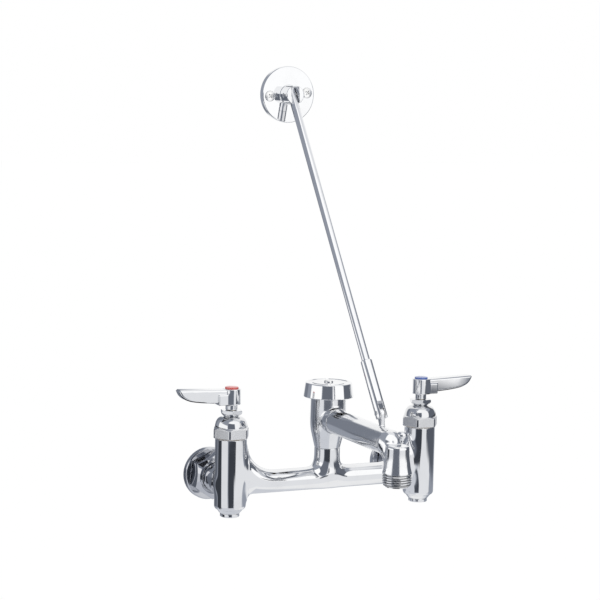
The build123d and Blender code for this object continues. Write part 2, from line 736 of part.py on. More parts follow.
seal_top = port_plate_z - poppet_lift - running_play
upper_disc_z = seal_top - poppet_seal_thick - poppet_disc_thick
with BuildPart() as poppet:
    with BuildSketch(level(0, breaker_seat_height)):
        Circle(poppet_disc_dia / 2)
    extrude(amount=poppet_disc_thick)
    with BuildSketch(level(0, breaker_seat_height)):
        Circle(poppet_stem_dia / 2)
    extrude(amount=upper_disc_z - breaker_seat_height)
    with BuildSketch(level(0, upper_disc_z)):
        Circle(poppet_disc_dia / 2)
    extrude(amount=poppet_disc_thick)
    with BuildSketch(level(0, upper_disc_z)):
        Circle(poppet_pin_dia / 2)
    extrude(amount=pin_top - upper_disc_z)
keep("breaker_poppet", poppet.part)

ring(
    "poppet_seal",
    level(0, seal_top - poppet_seal_thick),
    poppet_disc_dia - 0.6,
    poppet_pin_dia + 0.2,
    poppet_seal_thick,
)

cap_base = breaker_top - 0.2
cap_roof = cap_base + cap_height
with BuildPart() as breaker_cap:
    with BuildSketch(upright(0)):
        with BuildLine():
            Polyline(
                (0, cap_roof),
                (cap_top_dia / 2 - 0.8, cap_roof),
                (cap_top_dia / 2, cap_roof - 0.8),
                (cap_dia / 2, cap_base),
                (cap_dia / 2 - cap_wall, cap_base),
                (cap_top_dia / 2 - cap_wall, cap_roof - cap_wall),
                (cap_post_dia / 2, cap_roof - cap_wall),
                (cap_post_dia / 2, plate_hub_top),
                (0, plate_hub_top),
                close=True,
            )
        make_face()
    revolve(axis=upright_axis(0))
    with BuildSketch(level(0, breaker_top)):
        Circle(cap_screw_dia / 2 + 0.2)
    extrude(amount=cap_height, mode=Mode.SUBTRACT)
    # shallow ring on the roof
    with BuildSketch(level(0, cap_roof - 0.5)):
        Circle(cap_top_dia / 2 - 3.2)
        Circle(cap_top_dia / 2 - 6.4, mode=Mode.SUBTRACT)
    extrude(amount=0.5, mode=Mode.SUBTRACT)
keep("breaker_cap", breaker_cap.part)

with BuildPart() as cap_screw:
    with BuildSketch(level(0, cap_screw_foot)):
        Circle(cap_screw_dia / 2)
    extrude(amount=cap_roof - cap_screw_foot)
    with BuildSketch(level(0, cap_roof)):
        Circle(cap_screw_head_dia / 2)
    extrude(amount=1.6)
    fillet(cap_screw.edges().group_by(Axis.Z)[-1], radius=1.0)
    with BuildSketch(level(0, cap_roof + 0.7)):
        Rectangle(cap_screw_head_dia, 1.2)
    extrude(amount=1.0, mode=Mode.SUBTRACT)
keep("cap_screw", cap_screw.part)


# ---- Spout ---------------------------------------------------------------------------------
spout_start = wall_to_valve + spout_boss_reach + spout_gasket_thick
tail_start = spout_start - spout_gasket_thick - spout_tail_length
outlet_top = spout_height + outlet_top_rise
thread_top = outlet_bottom + thread_height
flare_start = thread_top + outlet_flare_height
lug_plane = Plane(origin=lower_pivot, x_dir=(0, 1, 0), z_dir=across)
spout_underside = spout_height - spout_dia / 2

ring(
    "spout_gasket",
    off_wall(0, wall_to_valve + spout_boss_reach, spout_height),
    spout_dia - 1.0,
    spout_tail_dia + 0.2,
    spout_gasket_thick,
)

with BuildPart() as spout:
    with BuildSketch(off_wall(0, spout_start, spout_height)):
        Circle(spout_dia / 2)
    extrude(amount=-nose_y - spout_start)
    with BuildSketch(off_wall(0, tail_start, spout_height)):
        Circle(spout_tail_dia / 2)
    extrude(amount=spout_start - tail_start)
    with Locations((0, nose_y, spout_height)):
        Sphere(spout_dia / 2)
    # elbow that carries the tube's underside down into the outlet
    with BuildSketch(off_wall(0, -outlet_y - elbow_radius, spout_height)):
        Circle(elbow_dia / 2)
    revolve(axis=Axis((0, outlet_y + elbow_radius, spout_height - elbow_radius), (1, 0, 0)), revolution_arc=90)
    # outlet: a straight drop that flares out above the hose thread
    with BuildSketch(upright(0, outlet_y)):
        with BuildLine():
            roof = Line((0, outlet_top), (outlet_dia / 2 - 4.0, outlet_top))
            shoulder = RadiusArc(roof @ 1, (outlet_dia / 2, outlet_top - 4.0), 4.0)
            drop = Line(shoulder @ 1, (outlet_dia / 2, flare_start))
            bell = Spline(
                drop @ 1,
                (hose_thread_dia / 2 - 1.45, thread_top + outlet_flare_height * 0.38),
                (hose_thread_dia / 2, thread_top + 0.6),
                tangents=((0, -1), (0.2, -1)),
            )
            thread = []
            for turn in range(hose_thread_turns):
                crest = thread_top - (turn + 0.5) * hose_thread_pitch
                thread += [
                    (hose_thread_root_dia / 2, crest + hose_thread_pitch * 0.4),
                    (hose_thread_dia / 2, crest + hose_thread_pitch * 0.12),
                    (hose_thread_dia / 2, crest - hose_thread_pitch * 0.12),
                    (hose_thread_root_dia / 2, crest - hose_thread_pitch * 0.4),
                ]
            thread += [(hose_thread_root_dia / 2, outlet_bottom), (0, outlet_bottom)]
            Polyline(bell @ 1, *thread, (0, outlet_top))
        make_face()
    revolve(axis=upright_axis(0, outlet_y))
    # pail hook: a waisted post with a round head, in front of a notch for the bail
    with BuildSketch(upright(0, outlet_y - hook_setout)):
        with BuildLine():
            Polyline(
                (0, spout_height + hook_height),
                (0, spout_height - hook_height * 0.3),
                (hook_neck_dia / 2, spout_height - hook_height * 0.3),
                (hook_neck_dia / 2, spout_height + hook_height * 0.26),
                (hook_neck_dia * 0.63, spout_height + hook_height * 0.56),
                (hook_head_dia / 2, spout_height + hook_height * 0.73),
                (hook_head_dia / 2, spout_height + hook_height * 0.82),
                (hook_head_dia * 0.385, spout_height + hook_height * 0.95),
                (hook_head_dia * 0.21, spout_height + hook_height),
                close=True,
            )
        make_face()
    revolve(axis=upright_axis(0, outlet_y - hook_setout))
    # lug for the brace, in the plane that the rod leans in
    with BuildSketch(lug_plane):
        Circle(lug_head_dia / 2)
        with Locations((-lug_base_length * 0.1, -(pivot_height - spout_height - spout_dia / 2) - 3.0)):
            Rectangle(lug_base_length, 3.0)
        make_hull()
    extrude(amount=lug_thick / 2, both=True)
    # waterway from the housing to the outlet, and the lug's pin hole
    with BuildSketch(off_wall(0, tail_start, spout_height)):
        Circle(spout_bore / 2)
    extrude(amount=-nose_y - tail_start + 2.0, mode=Mode.SUBTRACT)
    throat_start = Vector(0, nose_y + 2.0, spout_height - 1.0)
    throat_end = Vector(0, outlet_y, spout_underside - 2.0)
    with BuildSketch(Plane(origin=throat_start, z_dir=throat_end - throat_start)):
        Circle(throat_bore / 2)
    extrude(amount=(throat_end - throat_start).length, mode=Mode.SUBTRACT)
    with BuildSketch(level(0, outlet_bottom, outlet_y)):
        Circle(outlet_bore / 2)
    extrude(amount=spout_underside + 2.0 - outlet_bottom, mode=Mode.SUBTRACT)
    with BuildSketch(level(0, outlet_bottom, outlet_y)):
        Circle(outlet_bore / 2 + 2.0)
    extrude(amount=thread_height, mode=Mode.SUBTRACT)
    with BuildSketch(lug_plane):
        Circle(lower_pin_dia / 2 + running_play)
    extrude(amount=lug_thick, both=True, mode=Mode.SUBTRACT)
keep("spout", spout.part)


# ---- Brace: clevis sleeve, rod, pins and flange ---------------------------------------------
rod_frame = Plane(origin=lower_pivot, x_dir=across, z_dir=rod_direction)
rod_side = Plane(origin=lower_pivot, x_dir=rod_direction, z_dir=across)
eye_side = Plane(origin=upper_pivot, x_dir=rod_direction, z_dir=across)
flange_face = Plane(origin=(-brace_lean, 0, brace_rise), x_dir=across, z_dir=(0, -1, 0))
rod_axis = Axis(lower_pivot, rod_direction)
rod_bore_floor = sleeve_slot_depth + 3.0

with BuildPart() as brace_sleeve:
    with BuildSketch(rod_side):
        with Locations((sleeve_length / 2, 0)):
            Rectangle(sleeve_length, sleeve_dia)
        Circle(sleeve_dia / 2)
    extrude(amount=sleeve_dia / 2, both=True)
    with BuildSketch(rod_frame.offset(-sleeve_dia)):
        Circle(sleeve_dia / 2)
    extrude(amount=sleeve_length + 2 * sleeve_dia, mode=Mode.INTERSECT)
    chamfer(brace_sleeve.edges().group_by(rod_axis)[-1], length=sleeve_chamfer)
    with BuildSketch(rod_side):
        with Locations((0, 0)):
            Rectangle(2 * sleeve_slot_depth, sleeve_dia)
    extrude(amount=lug_thick / 2 + side_play, both=True, mode=Mode.SUBTRACT)
    with BuildSketch(rod_frame.offset(rod_bore_floor)):
        Circle(rod_dia / 2 + running_play)
    extrude(amount=sleeve_length - rod_bore_floor, mode=Mode.SUBTRACT)
    with BuildSketch(rod_side):
        Circle(lower_pin_dia / 2 + running_play)
    extrude(amount=sleeve_dia, both=True, mode=Mode.SUBTRACT)
    with BuildSketch(Plane(origin=rod_frame.from_local_coords((0, 0, set_screw_height)), z_dir=-rod_frame.y_dir)):
        Circle(set_screw_dia / 2 + running_play)
    extrude(amount=-sleeve_dia, mode=Mode.SUBTRACT)
keep("brace_sleeve", brace_sleeve.part)

with BuildPart() as set_screw:
    with BuildSketch(
        Plane(
            origin=rod_frame.from_local_coords((0, rod_dia / 2 + 3 * running_play, set_screw_height)),
            z_dir=rod_frame.y_dir,
        )
    ):
        Circle(set_screw_dia / 2)
        RegularPolygon(set_screw_dia / 4, 6, mode=Mode.SUBTRACT)
    extrude(amount=(sleeve_dia - rod_dia) / 2 + 1.2)
keep("sleeve_set_screw", set_screw.part)

with BuildPart() as lower_pin:
    with BuildSketch(rod_side):
        Circle(lower_pin_dia / 2)
    extrude(amount=sleeve_dia / 2 - 0.1, both=True)
    chamfer(lower_pin.edges().filter_by(GeomType.CIRCLE), length=0.4)
keep("lug_pin", lower_pin.part)

with BuildPart() as brace_rod:
    with BuildSketch(rod_frame.offset(rod_foot)):
        Circle(rod_dia / 2)
    extrude(amount=rod_length - rod_foot + rod_eye_reach)
    # two flats and a round tip, where the rod sits in the flange's post
    with BuildSketch(rod_frame.offset(rod_length - rod_eye_length)):
        Rectangle(2 * rod_dia, 2 * rod_dia)
        Rectangle(rod_eye_thick, 2 * rod_dia, mode=Mode.SUBTRACT)
    extrude(amount=rod_eye_length + 2 * rod_eye_reach, mode=Mode.SUBTRACT)
    with BuildSketch(eye_side):
        with Locations((rod_eye_reach, 0)):
            Rectangle(rod_dia, 2 * rod_dia)
        with Locations((rod_eye_reach - rod_dia / 2, 0)):
            Circle(rod_dia / 2, mode=Mode.SUBTRACT)
    extrude(amount=rod_dia, both=True, mode=Mode.SUBTRACT)
    with BuildSketch(eye_side):
        Circle(upper_pin_dia / 2 + running_play)
    extrude(amount=rod_dia, both=True, mode=Mode.SUBTRACT)
keep("brace_rod", brace_rod.part)

with BuildPart() as brace_flange:
    with BuildSketch(flange_face):
        Circle(brace_flange_dia / 2)
    extrude(amount=brace_flange_thick)
    fillet(brace_flange.edges().group_by(Axis.Y)[0], radius=1.2)
    with BuildSketch(flange_face):
        Circle(post_dia / 2)
    extrude(amount=brace_flange_thick + post_length)
    chamfer(brace_flange.edges().group_by(Axis.Y)[0], length=edge_break)
    with BuildSketch(flange_face.offset(brace_flange_thick + post_slot_floor)):
        Rectangle(rod_eye_thick + 2 * side_play, post_dia + 2)
    extrude(amount=post_length, mode=Mode.SUBTRACT)
    with BuildSketch(eye_side):
        Circle(upper_pin_dia / 2 + running_play)
    extrude(amount=post_dia, both=True, mode=Mode.SUBTRACT)
    with BuildSketch(flange_face):
        with GridLocations(wall_screw_spacing, 0, 2, 1):
            Circle(wall_screw_hole_dia / 2)
    extrude(amount=brace_flange_thick, mode=Mode.SUBTRACT)
    # countersinks for the oval heads
    for place in (-1, 1):
        with BuildSketch(flange_face.offset(brace_flange_thick - 2.4)):
            with Locations((place * wall_screw_spacing / 2, 0)):
                Circle(wall_screw_hole_dia / 2)
        with BuildSketch(flange_face.offset(brace_flange_thick)):
            with Locations((place * wall_screw_spacing / 2, 0)):
                Circle(wall_screw_head_dia / 2 + 0.1)
        loft(mode=Mode.SUBTRACT)
keep("brace_flange", brace_flange.part)

with BuildPart() as upper_pin:
    with BuildSketch(eye_side):
        Circle(upper_pin_dia / 2)
    extrude(amount=post_dia / 2 - 0.4, both=True)
keep("brace_pin", upper_pin.part)

with BuildPart() as wall_screws:
    for place in (-1, 1):
        shift = place * wall_screw_spacing / 2
        with BuildSketch(flange_face.offset(brace_flange_thick - wall_screw_length)):
            with Locations((shift, 0)):
                Circle(wall_screw_dia / 2)
        extrude(amount=wall_screw_length - brace_flange_thick)
        with BuildSketch(flange_face):
            with Locations((shift, 0)):
                Circle(wall_screw_shank_dia / 2)
        extrude(amount=brace_flange_thick - edge_break)
        with BuildSketch(flange_face.offset(brace_flange_thick - 2.3)):
            with Locations((shift, 0)):
                Circle(wall_screw_shank_dia / 2)
        with BuildSketch(flange_face.offset(brace_flange_thick)):
            with Locations((shift, 0)):
                Circle(wall_screw_head_dia / 2)
        loft()
        with BuildSketch(flange_face.offset(brace_flange_thick)):
            with Locations((shift, 0)):
                Circle(wall_screw_head_dia / 2)
        with BuildSketch(flange_face.offset(brace_flange_thick + 0.9)):
            with Locations((shift, 0)):
                Circle(wall_screw_head_dia / 2 - 1.6)
        loft()
        # cross recess
        with BuildSketch(flange_face.offset(brace_flange_thick + 0.9)):
            with Locations((shift, 0)):
                Rectangle(4.6, 1.1, rotation=38 * place)
                Rectangle(1.1, 4.6, rotation=38 * place)
        extrude(amount=-1.8, mode=Mode.SUBTRACT)
keep("wall_screws", wall_screws.part)
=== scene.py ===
"""Looks of a service-sink wall faucet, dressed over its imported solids.

The bright pieces are rebuilt as smooth surfaces, so that the plating mirrors the studio without facets.
Castings are skins of distance fields, and turned pieces are profiles carried round an axis.  Sizes are in
millimetres in the part's own frame: +X from hot to cold, +Y into the wall, +Z up, with the wall at y = 0
and the origin halfway between the inlets.
"""

from __future__ import annotations

import json
import logging
import math
from dataclasses import dataclass
from enum import Enum
from typing import Callable, Sequence

import bmesh
import bpy
import numpy as np
from mathutils import Matrix, Vector

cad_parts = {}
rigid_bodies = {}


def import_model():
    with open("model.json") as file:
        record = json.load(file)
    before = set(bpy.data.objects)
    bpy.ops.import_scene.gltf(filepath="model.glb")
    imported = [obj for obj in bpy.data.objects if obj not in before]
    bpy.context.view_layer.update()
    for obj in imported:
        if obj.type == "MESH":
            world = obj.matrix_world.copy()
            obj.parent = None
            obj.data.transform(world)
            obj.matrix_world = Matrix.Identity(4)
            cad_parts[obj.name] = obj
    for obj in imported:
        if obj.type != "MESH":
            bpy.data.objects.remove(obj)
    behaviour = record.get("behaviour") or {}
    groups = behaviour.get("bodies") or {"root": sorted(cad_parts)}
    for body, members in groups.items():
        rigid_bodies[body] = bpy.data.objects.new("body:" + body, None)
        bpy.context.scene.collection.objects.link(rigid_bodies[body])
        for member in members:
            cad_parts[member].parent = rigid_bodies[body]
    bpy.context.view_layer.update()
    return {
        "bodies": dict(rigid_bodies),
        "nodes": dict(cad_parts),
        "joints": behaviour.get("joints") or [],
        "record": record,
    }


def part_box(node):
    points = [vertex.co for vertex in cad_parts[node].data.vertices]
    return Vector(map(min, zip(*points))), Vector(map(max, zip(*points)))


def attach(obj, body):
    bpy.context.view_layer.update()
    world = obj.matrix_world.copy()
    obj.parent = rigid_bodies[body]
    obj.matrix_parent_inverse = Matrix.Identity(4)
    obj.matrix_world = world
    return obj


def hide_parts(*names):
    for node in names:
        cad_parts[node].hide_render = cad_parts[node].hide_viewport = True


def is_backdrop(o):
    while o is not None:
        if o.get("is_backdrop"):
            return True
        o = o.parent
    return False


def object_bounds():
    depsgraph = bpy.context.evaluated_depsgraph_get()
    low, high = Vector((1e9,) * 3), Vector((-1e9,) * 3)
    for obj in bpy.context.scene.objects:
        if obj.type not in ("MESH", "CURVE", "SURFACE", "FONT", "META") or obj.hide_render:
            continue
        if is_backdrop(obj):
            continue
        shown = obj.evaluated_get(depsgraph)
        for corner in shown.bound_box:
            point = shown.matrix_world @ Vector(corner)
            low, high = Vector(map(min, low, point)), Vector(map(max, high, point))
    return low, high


LOG = logging.getLogger("wall_faucet")
MM = 0.001
EDGE = 0.4  # usual radius of an eased edge
CRISP = 0.3  # radius of an edge on a bored or turned detail
TO_USER = (0.0, -1.0, 0.0)

Array = np.ndarray
Field = Callable[[Array], Array]
Colour = tuple[float, float, float]
Profile = Sequence[tuple[float, float]]
Bores = tuple[tuple[float, float, float], ...]
Material = bpy.types.Material
Socket = bpy.types.NodeSocket


class Body(Enum):
    """Rigid bodies of the faucet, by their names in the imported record."""

    FAUCET = "faucet"
    HOT_VALVE = "hot_valve"
    COLD_VALVE = "cold_valve"
    BREAKER_FLOAT = "breaker_float"
    BRACE_FORK = "brace_fork"
    BRACE_TIE = "brace_tie"
    BRACE_FOOT = "brace_foot"


class Side(Enum):
    """Hot or cold half of the faucet, and which way along X it lies."""

    HOT = -1
    COLD = 1

    def named(self, piece: str) -> str:
        """Name of this side's piece or CAD node."""
        return f"{self.name.lower()}_{piece}"


# ---- Distance fields -----------------------------------------------------------------------


def unit(direction: Sequence[float]) -> Array:
    """Direction scaled to length 1."""
    vector = np.asarray(direction, float)
    return vector / np.linalg.norm(vector)


def join(first: Array, second: Array, fillet: float) -> Array:
    """Union of two fields with a fillet: the smaller distance, less a cubic where the two are close.

    Args:
        first: Distances to one shape.
        second: Distances to the other shape.
        fillet: Width over which the two run together.

    Returns:
        Distances to the joined shape.
    """
    close = np.maximum(fillet - np.abs(first - second), 0.0) / fillet
    return np.minimum(first, second) - close**3 * fillet / 6


def carve(body: Array, tool: Array, edge: float = EDGE) -> Array:
    """Body less a tool, with the new edge eased: the union formula with both signs turned."""
    return -join(-body, tool, edge)


def keep_within(body: Array, limit: Array, edge: float = EDGE) -> Array:
    """Part of a body that lies within a limit, with the new edge eased."""
    return -join(-body, -limit, edge)


@dataclass(frozen=True)
class Line:
    """Straight axis in space, given by a point on it and its direction."""

    point: Sequence[float]
    direction: Sequence[float] = (0.0, 0.0, 1.0)

    def split(self, p: Array) -> tuple[Array, Array]:
        """Distances of points along the axis and out from it.

        Args:
            p: Points, as an array of rows.

        Returns:
            Distances along the axis and distances from it.
        """
        way = unit(self.direction)
        relative = p - np.asarray(self.point, float)
        along = relative @ way
        return along, np.linalg.norm(relative - along[:, None] * way, axis=1)

    def frame(self) -> tuple[Array, Array, Array]:
        """Two directions across the axis and the axis itself, as a right-handed set."""
        way = unit(self.direction)
        hint = np.array([1.0, 0.0, 0.0]) if abs(way[0]) < 0.9 else np.array([0.0, 0.0, 1.0])
        first = unit(hint - (hint @ way) * way)
        return first, np.cross(way, first), way


def slab(flat: Array, across: Array, half: float, edge: float = EDGE) -> Array:
    """Plate of an outline: the distance to a right angle shrunk by the edge radius, less that radius.

    Args:
        flat: Distances out of the outline, in its plane.
        across: Distances off the plate's middle plane.
        half: Half of the plate's thickness.
        edge: Radius of its rims.

    Returns:
        Distances to the plate.
    """
    side, cap = flat + edge, np.abs(across) - half + edge
    beyond = np.hypot(np.maximum(side, 0.0), np.maximum(cap, 0.0))
    return np.minimum(np.maximum(side, cap), 0.0) + beyond - edge


def bar(p: Array, axis: Line, start: float, end: float, radius: float, edge: float = EDGE) -> Array:
    """Round bar: a plate of a circle.

    Args:
        p: Points.
        axis: Axis of the bar.
        start: Near end, along the axis.
        end: Far end, along the axis.
        radius: Radius of the bar.
        edge: Radius of its two rims.

    Returns:
        Distances to the bar.
    """
    along, out = axis.split(p)
    return slab(out - radius, along - (start + end) / 2, (end - start) / 2, edge)


def drill(body: Array, p: Array, axis: Line, bores: Bores, edge: float = EDGE) -> Array:
    """Body less round bores on an axis, each given by its start, its end and its radius."""
    for start, end, radius in bores:
        body = carve(body, bar(p, axis, start, end, radius), edge)
    return body


def between(along: Array, start: float, end: float) -> Array:
    """Distance out of the room between two stations of an axis."""
    return np.abs(along - (start + end) / 2) - (end - start) / 2


def radius_at(along: Array, profile: Profile) -> Array:
    """Radius of a profile of (station, radius) rows, with straight runs between them."""
    return np.interp(along, *np.transpose(profile))


def spindle(p: Array, axis: Line, profile: Profile, edge: float = EDGE) -> Array:
    """Turned solid: the distance out, less the profile's radius, closed by its two end planes."""
    along, out = axis.split(p)
    return keep_within(out - radius_at(along, profile), between(along, profile[0][0], profile[-1][0]), edge)


def cone(along: Array, out: Array, radius: float, at: float, taper: float) -> Array:
    """Distance out of a cone, whose radius at a station shrinks by the taper for each mm along.

    Args:
        along: Distances along its axis.
        out: Distances from its axis.
        radius: Its radius at the station.
        at: The station.
        taper: Loss of radius for each mm along.

    Returns:
        Distances to the cone.
    """
    return (out - radius + taper * (along - at)) / math.hypot(1.0, taper)


def block(p: Array, centre: Sequence[float], axes: Array, half: Sequence[float], edge: float = EDGE) -> Array:
    """Rounded box: the exact distance to a box shrunk by its edge radius, less that radius.

    Args:
        p: Points.
        centre: Centre of the box.
        axes: Rows that are the box's own three directions.
        half: Half of its three sizes.
        edge: Radius of its edges.

    Returns:
        Distances to the box.
    """
    beyond = np.abs((p - np.asarray(centre, float)) @ np.asarray(axes, float).T) - np.asarray(half) + edge
    return np.linalg.norm(np.maximum(beyond, 0.0), axis=1) + np.minimum(beyond.max(axis=1), 0.0) - edge


def hexagon(p: Array, axis: Line, across_flats: float, turn: float) -> Array:
    """Distance out of a hexagonal bar: the greatest of the distances beyond its three pairs of flats."""
    first, second, _ = axis.frame()
    relative = p - np.asarray(axis.point, float)
    flats = np.radians(turn + 30.0 + np.array([0.0, 60.0, 120.0]))
    ways = np.cos(flats)[:, None] * first + np.sin(flats)[:, None] * second
    return np.abs(relative @ ways.T).max(axis=1) - across_flats / 2


def outline(q: Array, corners: Array) -> Array:
    """Signed distance to a closed outline: to its nearest side, negative where a ray crosses it oddly.

    Args:
        q: Points in the plane.
        corners: Corners of the outline, in order.

    Returns:
        Distances.
    """
    nearest, odd = np.full(len(q), np.inf), np.zeros(len(q), bool)
    for start, end in zip(corners, np.roll(corners, -1, axis=0)):
        side, away = end - start, q - start
        share = np.clip(away @ side / (side @ side), 0.0, 1.0)
        nearest = np.minimum(nearest, np.linalg.norm(away - share[:, None] * side, axis=1))
        spans = (q[:, 1] < start[1]) != (q[:, 1] < end[1])
        if side[1]:
            odd ^= spans & (q[:, 0] < start[0] + (q[:, 1] - start[1]) * side[0] / side[1])
    return np.where(odd, -nearest, nearest)


def spline(knots: Profile, count: int) -> Array:
    """Smooth line through points: a natural cubic in each coordinate, over the length of the chords.

    Args:
        knots: Points that the line passes through.
        count: Points on the line.

    Returns:
        The line's points, as an array of rows.
    """
    knots = np.asarray(knots, float)
    chord = np.concatenate([[0.0], np.cumsum(np.linalg.norm(np.diff(knots, axis=0), axis=1))])
    step, n = np.diff(chord), len(knots)
    system, target = np.eye(n), np.zeros_like(knots)
    rise = np.diff(knots, axis=0) / step[:, None]
    for row in range(1, n - 1):
        system[row, row - 1 : row + 2] = step[row - 1], 2 * (step[row - 1] + step[row]), step[row]
        target[row] = 6 * (rise[row] - rise[row - 1])
    bend = np.linalg.solve(system, target)
    at = np.linspace(0.0, chord[-1], count)
    piece = np.clip(np.searchsorted(chord, at, side="right") - 1, 0, n - 2)
    width = step[piece][:, None]
    before, after = (chord[piece + 1] - at)[:, None], (at - chord[piece])[:, None]
    return sum(
        bend[end] * reach**3 / (6 * width) + (knots[end] / width - bend[end] * width / 6) * reach
        for end, reach in ((piece, before), (piece + 1, after))
    )


def gradient(shape: Field, p: Array, reach: float = 0.04) -> Array:
    """Slope of a field at points, from the difference of its values a short reach to either side."""
    slopes = [(shape(p + shift) - shape(p - shift)) / (2 * reach) for shift in reach * np.eye(3)]
    return np.stack(slopes, axis=1)


def skin(shape: Field, low: Array, high: Array, step: float) -> tuple[Array, Array, Array]:
    """Surface where a field is zero, by surface nets.

    Every cell of a grid that the surface crosses gets one point.  The point starts at the cell's middle and
    slides down the field's slope until it lies on the surface.  Every grid edge that crosses the surface
    gets the quad of the four cells round it, turned so that it faces out.

    Args:
        shape: The field, negative inside.
        low: Lowest corner of the region.
        high: Highest corner of the region.
        step: Size of a cell.

    Returns:
        Points, quads and normals.
    """
    counts = np.ceil((high - low) / step).astype(int) + 1
    ticks = [low[axis] + step * np.arange(counts[axis]) for axis in range(3)]
    grid = np.stack(np.meshgrid(*ticks, indexing="ij"), axis=-1).reshape(-1, 3)
    inside = (shape(grid) < 0.0).reshape(counts)
    filled = np.zeros(counts - 1, int)
    for corner in np.ndindex(2, 2, 2):
        filled += inside[tuple(slice(c, c + n - 1) for c, n in zip(corner, counts))]
    crossed = (filled > 0) & (filled < 8)
    number = np.full(counts - 1, -1)
    number[crossed] = np.arange(crossed.sum())
    points = low + (np.argwhere(crossed) + 0.5) * step
    for _ in range(5):
        slope = gradient(shape, points)
        length = np.maximum((slope**2).sum(axis=1), 1e-3)
        move = (shape(points) / length)[:, None] * slope
        size = np.maximum(np.linalg.norm(move, axis=1, keepdims=True), 1e-9)
        points = points - move * np.minimum(1.0, 0.6 * step / size)
    quads = []
    for axis in range(3):
        here, cells = np.moveaxis(inside, axis, 0), np.moveaxis(number, axis, 0)
        lower, upper = here[:-1, 1:-1, 1:-1], here[1:, 1:-1, 1:-1]
        around = [cells[:, :-1, :-1], cells[:, 1:, :-1], cells[:, 1:, 1:], cells[:, :-1, 1:]]
        if axis == 1:
            around = around[::-1]
        for change, order in ((lower & ~upper, around), (~lower & upper, around[::-1])):
            quads.append(np.stack([corner[change] for corner in order], axis=1))
    normals = gradient(shape, points)
    normals /= np.maximum(np.linalg.norm(normals, axis=1, keepdims=True), 1e-9)
    return points, np.concatenate(quads), normals


# ---- Turned surfaces ------------------------------------------------------------------------


def arc(centre: tuple[float, float], radius: float, start: float, end: float, count: int = 9) -> list[tuple]:
    """Points on an arc of a profile: centre plus radius times cosine and sine of angles in degrees."""
    angles = np.radians(np.linspace(start, end, count))
    return list(zip(centre[0] + radius * np.cos(angles), centre[1] + radius * np.sin(angles)))


def fine(profile: Profile, longest: float) -> Array:
    """Profile with points added evenly on each run longer than a length."""
    corners = np.asarray(profile, float)
    rows = []
    for start, end in zip(corners, np.roll(corners, -1, axis=0)):
        count = max(1, int(math.ceil(np.linalg.norm(end - start) / longest)))
        rows.append(start + (end - start) * (np.arange(count) / count)[:, None])
    return np.concatenate(rows)


def wrap(rows: int, columns: int, closed: bool) -> Array:
    """Quads of a grid of points that closes round its columns, and round its rows too where closed."""
    row = np.arange(rows if closed else rows - 1)[:, None]
    column = np.arange(columns)[None, :]
    here, there = row * columns, ((row + 1) % rows) * columns
    after = (column + 1) % columns
    return np.stack([here + column, there + column, there + after, here + after], axis=-1).reshape(-1, 4)


def lathe(profile: Profile, axis: Line, segments: int, longest: float = 50.0) -> tuple[Array, Array]:
    """Closed profile carried round an axis: (out, along) becomes out times (cosine, sine) and along.

    Args:
        profile: Corners (out, along), clockwise when out runs right and along runs up.
        axis: Axis that it turns about.
        segments: Steps round the axis.
        longest: Longest run of the profile that stays undivided.

    Returns:
        Points and quads.
    """
    section = fine(profile, longest)
    turn = np.linspace(0.0, 2 * math.pi, segments, endpoint=False)[:, None]
    first, second, way = axis.frame()
    across = np.cos(turn) * first + np.sin(turn) * second
    points = np.asarray(axis.point) + section[:, :1, None] * across + section[:, 1:, None] * way
    return points.reshape(-1, 3), wrap(len(section), segments, closed=True)


# ---- Pieces ---------------------------------------------------------------------------------


@dataclass(frozen=True)
class Seat:
    """Where a piece belongs: its body, its material slot and the CAD node that it stands for."""

    body: Body
    slot: str
    node: str


def weld(mesh: bpy.types.Mesh) -> None:
    """Merge points that lie on each other, such as a pole's, and drop faces that this leaves without area."""
    edit = bmesh.new()
    edit.from_mesh(mesh)
    bmesh.ops.remove_doubles(edit, verts=edit.verts, dist=1e-6)
    bmesh.ops.dissolve_degenerate(edit, edges=edit.edges, dist=1e-7)
    bmesh.ops.recalc_face_normals(edit, faces=edit.faces)
    edit.to_mesh(mesh)
    edit.free()


def add_piece(
    name: str,
    points: Array,
    faces: Array,
    finish: Material,
    normals: Array | None = None,
    sharp: float = 28.0,
) -> bpy.types.Object:
    """Make an object from points in mm, with its place in its mesh.

    Args:
        name: Name of the piece.
        points: Points in mm.
        faces: Quads.
        finish: Material.
        normals: Normals of the points, where the surface knows them.
        sharp: Angle in degrees above which an edge stays crisp, where it doesn't.

    Returns:
        The new object.
    """
    mesh = bpy.data.meshes.new(name)
    mesh.from_pydata((points * MM).tolist(), [], faces.tolist())
    mesh.validate(clean_customdata=False)
    mesh.polygons.foreach_set("use_smooth", np.ones(len(mesh.polygons), bool))
    if normals is None:
        weld(mesh)
        mesh.set_sharp_from_angle(angle=math.radians(sharp))
    elif len(mesh.vertices) == len(normals):
        mesh.normals_split_custom_set_from_vertices(normals.tolist())
    mesh.materials.append(finish)
    piece = bpy.data.objects.new(name, mesh)
    bpy.context.scene.collection.objects.link(piece)
    return piece


def place(piece: bpy.types.Object, seat: Seat) -> None:
    """Let a piece ride on its body and stand for its CAD node, which is hidden."""
    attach(piece, seat.body.value)
    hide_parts(seat.node)
    LOG.info("%s: %d faces on %s", piece.name, len(piece.data.polygons), seat.body.value)


def span(node: str) -> tuple[Array, Array]:
    """Lowest and highest corner of a CAD node, in mm."""
    low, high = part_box(node)
    return np.array(low) / MM, np.array(high) / MM


